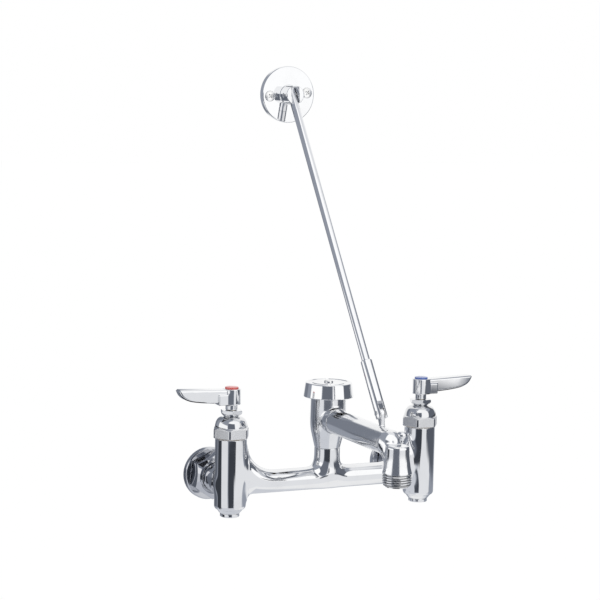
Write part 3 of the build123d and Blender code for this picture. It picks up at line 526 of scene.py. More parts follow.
def cast(name: str, shape: Field, step: float, finish: Material, seat: Seat) -> None:
    """Skin a field over the room that a CAD node takes, and put the piece in the node's seat.

    Args:
        name: Name of the piece.
        shape: Its field.
        step: Size of a cell of the skin.
        finish: Material.
        seat: Where it belongs.
    """
    cells, more = 1.5, 0.5
    low, high = span(seat.node)
    points, faces, normals = skin(shape, low - cells * step - more, high + cells * step + more, step)
    place(add_piece(name, points, faces, finish, normals), seat)


def turned(name: str, profile: Profile, axis: Line, segments: int, finish: Material, seat: Seat) -> None:
    """Carry a profile round an axis, and put the piece in a CAD node's seat.

    Args:
        name: Name of the piece.
        profile: Corners (out, along) of its closed section.
        axis: Axis that it turns about.
        segments: Steps round the axis.
        finish: Material.
        seat: Where it belongs.
    """
    place(add_piece(name, *lathe(profile, axis, segments), finish), seat)


# ---- Node trees -----------------------------------------------------------------------------


class Sheet:
    """Node tree with short calls to add nodes and join sockets."""

    def __init__(self, tree: bpy.types.NodeTree) -> None:
        """Start on a tree."""
        self.tree = tree

    def node(self, kind: str, **settings: object) -> bpy.types.Node:
        """Add a node and set its attributes."""
        made = self.tree.nodes.new(kind)
        for name, value in settings.items():
            setattr(made, name, value)
        return made

    def join(self, source: Socket, target: Socket) -> None:
        """Link an output to an input."""
        self.tree.links.new(source, target)

    def feed(self, target: Socket, value: Socket | float | Colour) -> None:
        """Link an output to an input, or set the input to a number or a colour."""
        if isinstance(value, Socket):
            self.join(value, target)
        else:
            target.default_value = (*value, 1.0) if isinstance(value, tuple) else value

    def noise(self, vector: Socket, scale: float, detail: float, rough: float = 0.5) -> Socket:
        """Noise of a vector, as a value from 0 to 1."""
        made = self.node("ShaderNodeTexNoise")
        for name, value in (("Vector", vector), ("Scale", scale), ("Detail", detail), ("Roughness", rough)):
            self.feed(made.inputs[name], value)
        return made.outputs["Fac"]

    def sum(self, operation: str, first: Socket | float, second: Socket | float = 0.0) -> Socket:
        """Two values joined by an arithmetic operation, or one changed by it."""
        made = self.node("ShaderNodeMath", operation=operation)
        for target, value in zip(made.inputs, (first, second)):
            self.feed(target, value)
        return made.outputs[0]

    def ramp(self, value: Socket, low: float, high: float, to_low: float, to_high: float) -> Socket:
        """Value carried from one range to another, kept inside it and eased at both ends."""
        made = self.node("ShaderNodeMapRange", interpolation_type="SMOOTHSTEP")
        self.join(value, made.inputs["Value"])
        for name, number in zip(("From Min", "From Max", "To Min", "To Max"), (low, high, to_low, to_high)):
            made.inputs[name].default_value = number
        return made.outputs["Result"]

    def blend(self, share: Socket, under: Socket | Colour, over: Colour) -> Socket:
        """Colour laid over another by a share."""
        made = self.node("ShaderNodeMix", data_type="RGBA")
        self.join(share, made.inputs["Factor"])
        colours = [socket for socket in made.inputs if socket.type == "RGBA"]
        for target, value in zip(colours, (under, over)):
            self.feed(target, value)
        return [socket for socket in made.outputs if socket.type == "RGBA"][0]

    def scaled(self, vector: Socket, scale: Socket) -> Socket:
        """Vector times a number."""
        made = self.node("ShaderNodeVectorMath", operation="SCALE")
        self.join(vector, made.inputs[0])
        self.join(scale, made.inputs["Scale"])
        return made.outputs[0]

    def split(self, vector: Socket) -> tuple[Socket, Socket, Socket]:
        """The three coordinates of a vector."""
        made = self.node("ShaderNodeSeparateXYZ")
        self.join(vector, made.inputs[0])
        return tuple(made.outputs)

    def seen(self) -> Socket:
        """1 for what the camera, a mirror or glass looks at, and 0 for what only lights."""
        paths = self.node("ShaderNodeLightPath").outputs
        seen = self.sum("MAXIMUM", paths["Is Camera Ray"], paths["Is Glossy Ray"])
        return self.sum("MAXIMUM", seen, paths["Is Transmission Ray"])


class Effects:
    """Shader groups that several finishes share, each built when it is first asked for."""

    @staticmethod
    def group(
        name: str, values: dict[str, float], output: str, wire: Callable[[Sheet, object], Socket]
    ) -> bpy.types.NodeTree:
        """Group that takes a vector and named values and gives one value.

        Args:
            name: Name of the group.
            values: Default of each named value.
            output: Name of the value that it gives.
            wire: Adds the nodes to a sheet, from the group's input sockets, and returns the result.

        Returns:
            The group.
        """
        if name not in bpy.data.node_groups:
            tree = bpy.data.node_groups.new(name, "ShaderNodeTree")
            tree.interface.new_socket("Vector", in_out="INPUT", socket_type="NodeSocketVector")
            for title, value in values.items():
                made = tree.interface.new_socket(title, in_out="INPUT", socket_type="NodeSocketFloat")
                made.default_value = value
            tree.interface.new_socket(output, in_out="OUTPUT", socket_type="NodeSocketFloat")
            sheet = Sheet(tree)
            start, end = sheet.node("NodeGroupInput"), sheet.node("NodeGroupOutput")
            sheet.join(wire(sheet, start.outputs), end.inputs[output])
        return bpy.data.node_groups[name]

    @classmethod
    def polish(cls) -> bpy.types.NodeTree:
        """Height of a hand-buffed surface: long soft waves, plus a little fine grain."""

        def wire(sheet: Sheet, given: object) -> Socket:
            """Two noises, each times its share."""
            waves = sheet.sum("MULTIPLY", sheet.noise(given["Vector"], 70.0, 1.0), given["Waves"])
            grain = sheet.sum("MULTIPLY", sheet.noise(given["Vector"], 900.0, 2.0), given["Grain"])
            return sheet.sum("ADD", waves, grain)

        return cls.group("polish", {"Waves": 0.8, "Grain": 0.1}, "Height", wire)

    @classmethod
    def film(cls) -> bpy.types.NodeTree:
        """Mask of the faint film that handling and dried water leave: cloudy patches with small spots."""

        def wire(sheet: Sheet, given: object) -> Socket:
            """The greater of a coarse noise and a fine one, each cut to its peaks."""
            at = sheet.scaled(given["Vector"], given["Size"])
            patches = sheet.ramp(sheet.noise(at, 45.0, 3.0, 0.6), 0.42, 0.72, 0.0, 1.0)
            spots = sheet.ramp(sheet.noise(at, 420.0, 1.0), 0.66, 0.74, 0.0, 0.6)
            return sheet.sum("MAXIMUM", patches, spots)

        return cls.group("film", {"Size": 1.0}, "Mask", wire)

    @classmethod
    def turning(cls) -> bpy.types.NodeTree:
        """Height of fine turning marks: waves across one direction, broken up by noise."""

        def wire(sheet: Sheet, given: object) -> Socket:
            """Bands of the scaled vector."""
            at = sheet.scaled(given["Vector"], given["Pitch"])
            wave = sheet.node("ShaderNodeTexWave", wave_type="BANDS", bands_direction="Z")
            for name, value in (("Scale", 1.0), ("Distortion", 1.5), ("Detail", 1.0), ("Vector", at)):
                sheet.feed(wave.inputs[name], value)
            return wave.outputs["Fac"]

        return cls.group("turning", {"Pitch": 900.0}, "Height", wire)


class Bench:
    """New material with its Principled shader, ready to be wired."""

    def __init__(self, name: str, **settings: float) -> None:
        """Make the material, set its shader's named inputs and read its coordinates."""
        self.material = bpy.data.materials.new(name)
        self.material.use_nodes = True
        self.sheet = Sheet(self.material.node_tree)
        self.shader = self.material.node_tree.nodes["Principled BSDF"]
        self.place = self.sheet.node("ShaderNodeTexCoord").outputs["Object"]
        for title, value in settings.items():
            self.shader.inputs[title.replace("_", " ")].default_value = value

    def group(self, tree: bpy.types.NodeTree, **values: float) -> Socket:
        """Output of a shared group that is fed the object's coordinates."""
        made = self.sheet.node("ShaderNodeGroup")
        made.node_tree = tree
        self.sheet.join(self.place, made.inputs["Vector"])
        for title, value in values.items():
            made.inputs[title].default_value = value
        return made.outputs[0]

    def bump(self, height: Socket, distance: float) -> None:
        """Let a height tilt the normal, its full range being a distance in metres."""
        made = self.sheet.node("ShaderNodeBump")
        made.inputs["Distance"].default_value = distance
        self.sheet.join(height, made.inputs["Height"])
        self.sheet.join(made.outputs["Normal"], self.shader.inputs["Normal"])

    def tint(self, mask: Socket, clean: Colour, marked: Colour) -> None:
        """Run the base colour from one to another by a mask."""
        self.sheet.join(self.sheet.blend(mask, clean, marked), self.shader.inputs["Base Color"])

    def roughen(self, mask: Socket, clean: float, marked: float, more: Socket | None = None) -> None:
        """Run the roughness from one value to another by a mask, and add what more there is."""
        rough = self.sheet.ramp(mask, 0.0, 1.0, clean, marked)
        rough = rough if more is None else self.sheet.sum("ADD", rough, more)
        self.sheet.join(rough, self.shader.inputs["Roughness"])


# ---- Finishes -------------------------------------------------------------------------------


@dataclass(frozen=True)
class Ring:
    """Upright axis at (x, y) and the two radii, in metres, between which a mask fades out."""

    x: float
    y: float
    full: float
    none: float
    mirrored: bool = False

    def mask(self, bench: Bench) -> Socket:
        """1 within the full radius and 0 beyond the other, round the axis or also round its mirror image."""
        sheet = bench.sheet
        x, y, _ = sheet.split(bench.place)
        if self.mirrored:
            x = sheet.sum("ABSOLUTE", x)
        aside, ahead = (
            sheet.sum("POWER", sheet.sum("SUBTRACT", place, middle), 2.0)
            for place, middle in ((x, self.x), (y, self.y))
        )
        return sheet.ramp(sheet.sum("SQRT", sheet.sum("ADD", aside, ahead)), self.full, self.none, 1.0, 0.0)


@dataclass(frozen=True)
class Plating:
    """Bright nickel-chrome plate: near mirror, with soft buffing waves and a faint film.

    Below a height it can be frosted, apart from turned corners that are polished.  The grooves of a
    thread can be darkened: painted shade in their hollows.
    """

    name: str
    colour: Colour = (0.82, 0.825, 0.835)
    clean: float = 0.04
    marked: float = 0.10
    wave_depth: float = 2.2e-5
    frosted_below: float | None = None
    frosted_within: Ring | None = None
    # Ring round a thread's groove roots, where the colour is darkened as painted shade.
    grooves: Ring | None = None
    frost: float = 0.28
    frost_fade: float = 0.0003
    film_shade: float = 0.96
    groove_painted_shade: float = 0.42

    def frosting(self, bench: Bench) -> Socket | None:
        """Roughness that the frost adds, if any."""
        if self.frosted_below is None:
            return None
        height = bench.sheet.split(bench.place)[2]
        top = self.frosted_below
        frost = bench.sheet.ramp(height, top - self.frost_fade, top, self.frost, 0.0)
        return bench.sheet.sum("MULTIPLY", frost, self.frosted_within.mask(bench))

    def material(self) -> Material:
        """Wire the finish."""
        bench = Bench(self.name, Metallic=1.0)
        film = bench.group(Effects.film())
        # Base colour mask: the film's faint tint, but on a thread the painted shade of its grooves.
        mask, shade = film, self.film_shade
        if self.grooves:
            mask, shade = self.grooves.mask(bench), self.groove_painted_shade
        bench.tint(mask, self.colour, tuple(shade * channel for channel in self.colour))
        bench.roughen(film, self.clean, self.marked, self.frosting(bench))
        bench.bump(bench.group(Effects.polish(), Waves=0.8, Grain=0.05), self.wave_depth)
        return bench.material


@dataclass(frozen=True)
class Machined:
    """Bare machined metal: turning marks, and stains where it has dulled."""

    name: str
    colour: Colour
    stain: Colour
    clean: float = 0.22
    marked: float = 0.42
    mark_depth: float = 1.5e-5

    def material(self) -> Material:
        """Wire the finish."""
        bench = Bench(self.name, Metallic=1.0)
        film = bench.group(Effects.film(), Size=1.6)
        bench.tint(film, self.colour, self.stain)
        bench.roughen(film, self.clean, self.marked)
        bench.bump(bench.group(Effects.turning(), Pitch=900.0), self.mark_depth)
        return bench.material


@dataclass(frozen=True)
class Moulding:
    """Moulded or pressed non-metal: even colour, faint mottle and a fine surface grain."""

    name: str
    colour: Colour
    mottle: Colour
    clean: float
    marked: float
    grain_depth: float = 2.0e-5
    coat: float = 0.0

    def material(self) -> Material:
        """Wire the finish."""
        bench = Bench(self.name, Coat_Weight=self.coat)
        film = bench.group(Effects.film(), Size=2.4)
        bench.tint(film, self.colour, self.mottle)
        bench.roughen(film, self.clean, self.marked)
        bench.bump(bench.group(Effects.polish(), Waves=0.3, Grain=0.7), self.grain_depth)
        return bench.material


class Finishes:
    """Every finish of the faucet, by the record's material slot."""

    def __init__(self) -> None:
        """Make the materials."""
        bonnet_corners = Ring(0.1016, -0.0572, 0.01772, 0.01785, mirrored=True)
        recipes = (
            Plating("chrome_cast"),
            Plating("chrome_satin", clean=0.11, marked=0.17, wave_depth=3.0e-5),
            # The bonnet's plating is a darker copy of the chrome: painted shade for the dim reflections of
            # its flats.
            Plating(
                "chrome_bonnet",
                (0.74, 0.745, 0.755),
                wave_depth=1.2e-5,
                frosted_below=0.0553,
                frosted_within=bonnet_corners,
            ),
            Plating("chrome_turned", marked=0.09, wave_depth=1.2e-5),
            # Darker copy of the chrome for the inlets: painted shade for their dim reflections near the wall.
            Plating("chrome_inlet_painted_shade", (0.60, 0.61, 0.64), clean=0.05, wave_depth=3.0e-5),
            Plating("chrome_rod", (0.80, 0.805, 0.82), clean=0.05, marked=0.12, wave_depth=0.8e-5),
            Machined("stainless", (0.86, 0.86, 0.86), (0.74, 0.74, 0.73), 0.12, 0.24),
            Machined("brass", (0.72, 0.56, 0.30), (0.50, 0.36, 0.19)),
            Moulding("ceramic", (0.88, 0.87, 0.84), (0.80, 0.79, 0.75), 0.12, 0.25, 0.8e-5, 0.3),
            Moulding("seal_rubber", (0.05, 0.05, 0.05), (0.075, 0.073, 0.07), 0.55, 0.75, 4.0e-5),
            Moulding("fibre_seal", (0.55, 0.50, 0.44), (0.42, 0.37, 0.31), 0.7, 0.9, 8.0e-5),
            Moulding("float_plastic", (0.85, 0.84, 0.80), (0.78, 0.77, 0.72), 0.35, 0.5),
            Moulding("red_button", (0.62, 0.11, 0.10), (0.50, 0.08, 0.08), 0.16, 0.3, 1.0e-5, 0.4),
            Moulding("blue_button", (0.09, 0.15, 0.42), (0.07, 0.11, 0.33), 0.16, 0.3, 1.0e-5, 0.4),
        )
        self.made = {recipe.name: recipe.material() for recipe in recipes}

    def __getitem__(self, slot: str) -> Material:
        """Material of a slot."""
        return self.made[slot]

    def dress(self, frame: dict) -> None:
        """Give every CAD node the finish of its slot in the record."""
        for part in frame["record"]["subparts"]:
            node = frame["nodes"][part["node"]]
            node.data.materials.clear()
            node.data.materials.append(self.made[part["material_slot"]])


# ---- Sub-assemblies -------------------------------------------------------------------------


@dataclass(frozen=True)
class Layout:
    """Places that several sub-assemblies share, in mm."""

    half_spacing: float
    valve_y: float
    outlet_y: float
    spout_z: float
    lower_pivot: Array
    upper_pivot: Array
    across: Array
    along: Array

    @classmethod
    def read(cls, frame: dict) -> Layout:
        """Take the places from the frame's joints, mounts and boxes."""
        joints = {joint["name"]: joint for joint in frame["joints"]}
        mounts = {mount["name"]: mount for mount in frame["record"]["mounts"]}
        cold, lower, upper = (
            np.array(joints[name]["pos_m"]) / MM for name in ("cold_turn", "brace_swing", "foot_swing")
        )
        tail_low, tail_high = span("spout_gasket")
        return cls(
            half_spacing=cold[0],
            valve_y=cold[1],
            outlet_y=mounts["outlet_thread"]["pos_m"][1] / MM,
            spout_z=(tail_low[2] + tail_high[2]) / 2,
            lower_pivot=lower,
            upper_pivot=upper,
            across=unit(joints["brace_swing"]["axis"]),
            along=unit(upper - lower),
        )

    def valve(self, side: Side) -> Line:
        """Upright axis of a valve."""
        return Line((side.value * self.half_spacing, self.valve_y, 0.0))

    def inlet(self, side: Side) -> Line:
        """Axis of an inlet, from the wall towards the user."""
        return Line((side.value * self.half_spacing, 0.0, 0.0), TO_USER)

    def riser(self) -> Line:
        """Upright axis of the riser and the vacuum breaker."""
        return Line((0.0, self.valve_y, 0.0))

    def spout(self) -> Line:
        """Axis of the spout, from the wall towards the user."""
        return Line((0.0, 0.0, self.spout_z), TO_USER)

    def outlet(self) -> Line:
        """Upright axis of the outlet."""
        return Line((0.0, self.outlet_y, 0.0))

    def rod(self) -> Line:
        """Axis of the brace rod, from its lower pivot."""
        return Line(self.lower_pivot, self.along)

    def pin(self, pivot: Array) -> Line:
        """Axis of a pin at one of the brace's pivots."""
        return Line(pivot, self.across)


@dataclass
class ValveBody:
    """One casting: two barrels, the bridge between them, the riser and the two inlet arms."""

    layout: Layout
    barrel: float = 15.1
    barrel_foot: Profile = ((-27.5, 9.65), (-23.7, 12.6), (-23.2, 13.7), (-22.0, 14.75))
    barrel_start: float = -20.6
    barrel_rim: float = 44.9
    barrel_bores: Bores = ((-7.0, 60.0, 9.6), (30.0, 60.0, 12.1), (-60.0, -18.4, 7.0), (-30.0, 0.0, 5.5))
    bridge: float = 10.8
    bridge_bore: float = 6.3
    bridge_bore_z: float = 1.5
    crown_flare: float = 31.0
    belly_flare: float = 8.0
    riser: float = 12.4
    riser_foot: float = -3.0
    riser_top: float = 30.0
    riser_flare: float = 15.0
    riser_room: float = 30.0
    riser_bores: Bores = ((0.0, 60.0, 8.0), (21.5, 60.0, 10.1))
    arm: float = 14.5
    arm_end: float = 18.5
    arm_bores: Bores = ((0.0, 36.0, 7.5),)
    fillet: float = 7.0
    step: float = 0.9

    def lift(self, run: Array, flare: float) -> Array:
        """Rise of a fillet near a barrel: its radius less the root of that squared less the reach squared."""
        reach = np.clip(self.barrel + flare - run, 0.0, 0.985 * flare)
        return flare - np.sqrt(flare**2 - reach**2)

    def web(self, p: Array) -> Array:
        """Bridge: an ellipse across, whose crown and belly swell towards the barrels."""
        run = self.layout.half_spacing - np.abs(p[:, 0])
        crown, belly = (self.bridge + self.lift(run, flare) for flare in (self.crown_flare, self.belly_flare))
        half, middle = (crown + belly) / 2, (crown - belly) / 2
        y, z = p[:, 1] - self.layout.valve_y, p[:, 2] - middle
        ratio = np.hypot(y / self.bridge, z / half)
        slope = np.maximum(np.hypot(y / self.bridge**2, z / half**2), 1e-6)
        return keep_within(ratio * (ratio - 1.0) / slope, -run)

    def shape(self, p: Array) -> Array:
        """Whole casting: the bridge joined to its hubs, less the waterways."""
        layout, riser = self.layout, self.layout.riser()
        stub = bar(p, riser, self.riser_foot, self.riser_top + 12.0, self.riser, 9.0)
        body = join(self.web(p), stub, self.riser_flare)
        near_riser = np.abs(p[:, 0]) < self.riser_room
        body = keep_within(body, np.where(near_riser, p[:, 2] - self.riser_top, -9.0), CRISP)
        profile = (*self.barrel_foot, (self.barrel_start, self.barrel), (self.barrel_rim, self.barrel))
        for side in Side:
            body = join(body, spindle(p, layout.valve(side), profile), self.fillet)
            arm = bar(p, layout.inlet(side), self.arm_end, -layout.valve_y, self.arm)
            body = join(body, arm, self.fillet)
        bridge = Line((0.0, layout.valve_y, self.bridge_bore_z), (1.0, 0.0, 0.0))
        body = carve(body, bar(p, bridge, -layout.half_spacing, layout.half_spacing, self.bridge_bore))
        body = drill(body, p, riser, self.riser_bores)
        for side in Side:
            body = drill(body, p, layout.valve(side), self.barrel_bores)
            body = drill(body, p, layout.inlet(side), self.arm_bores)
        return body

    def build(self, finishes: Finishes) -> None:
        """Skin the casting."""
        seat = Seat(Body.FAUCET, "chrome_cast", "valve_body")
        cast("valve_body_casting", self.shape, self.step, finishes["chrome_cast"], seat)


@dataclass
class Inlet:
    """Wall flange and coupling nut of one supply."""

    layout: Layout
    side: Side
    flange: float = 25.5
    flange_edge: float = 6.5
    flange_rim: float = 1.6
    hub: float = 16.8
    hub_end: float = 16.5
    thread: float = 9.1
    thread_depth: float = 14.0
    thread_chamfer: float = 0.8
    bore: float = 7.5
    nut_flats: float = 39.5
    nut_start: float = 8.0
    nut_end: float = 24.0
    nut_turn: float = 25.0
    nut_bores: Bores = ((0.0, 20.65, 16.9),)
    arm_hole: float = 14.8
    nut_step: float = 0.6

    def flange_profile(self) -> Profile:
        """Section of the flange: flat back, rounded rim, slightly dished face and the hub."""
        rim = self.flange_rim
        return [
            (self.thread, 0.0),
            (self.thread, self.thread_depth),
            (self.bore, self.thread_depth + self.thread_chamfer),
            (self.bore, self.hub_end),
            (self.hub - EDGE, self.hub_end),
            (self.hub, self.hub_end - EDGE),
            (self.hub, self.flange_edge + 2 * EDGE),
            (self.hub + 2 * EDGE, self.flange_edge),
            *arc((self.flange - rim, self.flange_edge - rim), rim, 90.0, 0.0),
            *arc((self.flange - EDGE, EDGE), EDGE, 0.0, -90.0, 4),
        ]

    def nut(self, p: Array) -> Array:
        """Coupling nut: six flats, front corners turned to a cone, bored for the hub and for the arm."""
        axis = self.layout.inlet(self.side)
        along, out = axis.split(p)
        cone_start = self.nut_start + 0.72 * (self.nut_end - self.nut_start)
        taper = 0.14 * self.nut_flats / (self.nut_end - cone_start)
        nut = hexagon(p, axis, self.nut_flats, self.nut_turn)
        nut = keep_within(nut, cone(along, out, 0.58 * self.nut_flats, cone_start, taper), 0.7)
        nut = keep_within(nut, cone(along, out, 0.565 * self.nut_flats, self.nut_start, -0.9), 0.5)
        nut = keep_within(nut, between(along, self.nut_start, self.nut_end), 0.5)
        nut = drill(nut, p, axis, self.nut_bores, CRISP)
        return carve(nut, out - self.arm_hole, 0.6)

    def build(self, finishes: Finishes) -> None:
        """Make the two pieces."""
        # The inlets take the darker plating, which is painted shade.
        name, finish = self.side.named, finishes["chrome_inlet_painted_shade"]
        flange, nut = (
            Seat(Body.FAUCET, "chrome_turned", name(node)) for node in ("wall_flange", "coupling_nut")
        )
        turned(
            name("wall_escutcheon"), self.flange_profile(), self.layout.inlet(self.side), 160, finish, flange
        )
        cast(name("coupling_hexagon"), self.nut, self.nut_step, finish, nut)


BONNET_TURN = {Side.HOT: 3.2, Side.COLD: -4.8}


@dataclass
class Valve:
    """Bonnet, gland nut and bottom plug of one valve."""

    layout: Layout
    side: Side
    bonnet_flats: float = 32.0
    bonnet_corners: float = 17.95
    bonnet_base: float = 45.7
    bonnet_shoulder: float = 55.5
    bonnet_top: float = 65.5
    dome_shares: Profile = ((-2.0, 0.485), (0.0, 0.485), (4.0, 0.464), (7.9, 0.397))
    dome_end: tuple[float, float] = (-0.2, 0.30)
    bonnet_thread: tuple[float, float, float] = (33.0, 50.0, 12.0)
    gland_flats: float = 19.0
    gland_top: float = 71.9
    gland_turn: float = 14.0
    gland_thread: float = 6.4
    gland_foot: float = 61.0
    stem: float = 4.05
    cap: float = 9.25
    cap_top: float = -27.5
    cap_bottom: float = -31.0
    slot_half: tuple[float, float, float] = (20.0, 0.9, 1.8)
    plug_thread: float = 6.9
    plug_top: float = -19.9

    def bonnet(self, p: Array) -> Array:
        """Bonnet: a hexagon with turned corners, a round dome over it, a thread under it and its bores."""
        axis = self.layout.valve(self.side)
        along, out = axis.split(p)
        base, shoulder, flats = self.bonnet_base, self.bonnet_shoulder, self.bonnet_flats
        hexed = np.maximum(hexagon(p, axis, flats, BONNET_TURN[self.side]), out - self.bonnet_corners)
        hexed = keep_within(hexed, cone(along, out, 0.49 * flats, shoulder, 1.44), 0.6)
        hexed = keep_within(hexed, cone(along, out, 0.56 * flats, base, -0.8), 0.5)
        hexed = keep_within(hexed, between(along, base, shoulder))
        knots = [(shoulder + rise, share * flats) for rise, share in self.dome_shares]
        rise, share = self.dome_end
        dome = spline([*knots, (self.bonnet_top + rise, share * flats)], 160)
        lean = np.interp(along, dome[:, 0], np.gradient(dome[:, 1], dome[:, 0]))
        side = (out - radius_at(along, dome)) / np.hypot(1.0, lean)
        cap = keep_within(side, np.maximum(along - self.bonnet_top, base - along), 1.2)
        body = join(join(hexed, cap, 0.5), bar(p, axis, *self.bonnet_thread), 0.3)
        body = drill(body, p, axis, ((0.0, 100.0, self.stem), (0.0, 49.7, 9.4)))
        return drill(body, p, axis, ((58.5, 100.0, 6.5),), CRISP)

    def gland(self, p: Array) -> Array:
        """Gland nut: six flats over a cone that flares upwards, with a plain spigot below."""
        axis = self.layout.valve(self.side)
        along, out = axis.split(p)
        base, top, flats = self.bonnet_top, self.gland_top, self.gland_flats
        flare = 0.22 * flats / (0.62 * (top - base))
        nut = hexagon(p, axis, flats, self.gland_turn)
        nut = keep_within(nut, cone(along, out, 0.36 * flats, base, -flare), 0.2)
        nut = keep_within(nut, cone(along, out, 0.53 * flats, top, 1.6), 0.2)
        nut = keep_within(nut, between(along, base, top), 0.25)
        nut = join(nut, bar(p, axis, self.gland_foot, base + 1.0, self.gland_thread), 0.2)
        return drill(nut, p, axis, ((0.0, 100.0, self.stem),), CRISP)

    def plug(self, p: Array) -> Array:
        """Bottom plug: a round cap with a screwdriver slot, and the plain thread above it."""
        axis = self.layout.valve(self.side)
        cap = bar(p, axis, self.cap_bottom, self.cap_top, self.cap, 0.6)
        body = join(cap, bar(p, axis, self.cap_top - 1.5, self.plug_top, self.plug_thread), 0.2)
        slot = block(p, (*axis.point[:2], self.cap_bottom), np.eye(3), self.slot_half, 0.2)
        return carve(body, slot, CRISP)

    def build(self, finishes: Finishes) -> None:
        """Make the three pieces."""
        for title, shape, node, step, finish in (
            # The bonnet takes the darker plating, which is painted shade.
            ("bonnet_dome", self.bonnet, "bonnet", 0.5, "chrome_bonnet"),
            ("gland_hexagon", self.gland, "gland_nut", 0.3, "chrome_turned"),
            ("plug_cap", self.plug, "bottom_plug", 0.45, "chrome_turned"),
        ):
            seat = Seat(Body.FAUCET, "chrome_turned", self.side.named(node))
            cast(self.side.named(title), shape, step, finishes[finish], seat)


@dataclass
class Handle:
    """Lever handle and its index button."""

    layout: Layout
    side: Side
    neck_base: float = 72.1
    hub_base: float = 77.4
    hub_top: float = 92.3
    hub: float = 8.7
    neck: float = 5.75
    reach: float = 55.3
    height: float = 13.4
    width: float = 11.0
    set_down: float = 0.5
    climb: float = 1.4
    tip: float = 1.3
    under_shares: Profile = (
        (0.962, 0.31), (0.90, 0.55), (0.795, 0.74), (0.64, 0.86), (0.47, 0.935), (0.27, 0.985)
    )
    root: tuple[float, float, float] = (15.6, 14.0, 10.2)
    bores: Bores = ((86.95, 120.0, 4.3), (60.0, 120.0, 2.2), (60.0, 84.85, 4.05))
    button: float = 6.5
    button_base: float = 90.8
    button_top: float = 94.2
    button_rim: float = 0.5
    button_crown: float = 0.35
    step: float = 0.5

    def lever_outline(self) -> Array:
        """Side view of the lever, outwards and up from the top of the hub."""
        knots = [(self.reach * out, -self.height * down) for out, down in self.under_shares]
        under = spline([(self.reach, 0.0), *knots], 40)
        top = [(0.0, -self.set_down), (self.reach - self.tip, self.climb)]
        return np.vstack([top, under, [(0.0, -self.height)]])

    def shape(self, p: Array) -> Array:
        """Handle: hub, neck, lever and root block, less the bores."""
        axis, outward = self.layout.valve(self.side), float(self.side.value)
        x, y, _ = axis.point
        q = np.stack([outward * (p[:, 0] - x), p[:, 2] - self.hub_top], axis=1)
        lever = slab(outline(q, self.lever_outline()), p[:, 1] - y, self.width / 2, 1.9)
        reach, _, height = self.root
        middle = (x + outward * reach / 2, y, self.hub_base + height / 2)
        root = block(p, middle, np.eye(3), np.array(self.root) / 2, 0.9)
        hub = bar(p, axis, self.hub_base, self.hub_top, self.hub, 0.7)
        neck = bar(p, axis, self.neck_base, self.hub_base + 2.0, self.neck, 0.5)
        body = join(join(join(hub, root, 2.4), lever, 0.8), neck, 1.2)
        seat = (self.button_base, 120.0, self.button + 0.05)
        return drill(body, p, axis, (seat, *self.bores), CRISP)

    def button_profile(self) -> Profile:
        """Section of the button: a shallow crown with a rounded rim."""
        out, rim, top = self.button, self.button_rim, self.button_top
        crown = [(out * share, top - self.button_crown * share**2) for share in (0.0, 0.35, 0.65, 0.88)]
        rounded = arc((out - rim, top - self.button_crown - rim), rim, 60.0, 0.0, 5)
        return [(0.0, self.button_base), *crown, *rounded, (out, self.button_base)]

    def build(self, finishes: Finishes) -> None:
        """Make the lever and the button."""
        hot, name = self.side is Side.HOT, self.side.named
        body, colour = (Body.HOT_VALVE, "red_button") if hot else (Body.COLD_VALVE, "blue_button")
        lever = Seat(body, "chrome_cast", name("handle"))
        cast(name("lever"), self.shape, self.step, finishes["chrome_cast"], lever)
        button = Seat(body, colour, name("index_button"))
        turned(
            name("button"), self.button_profile(), self.layout.valve(self.side), 96, finishes[colour], button
        )


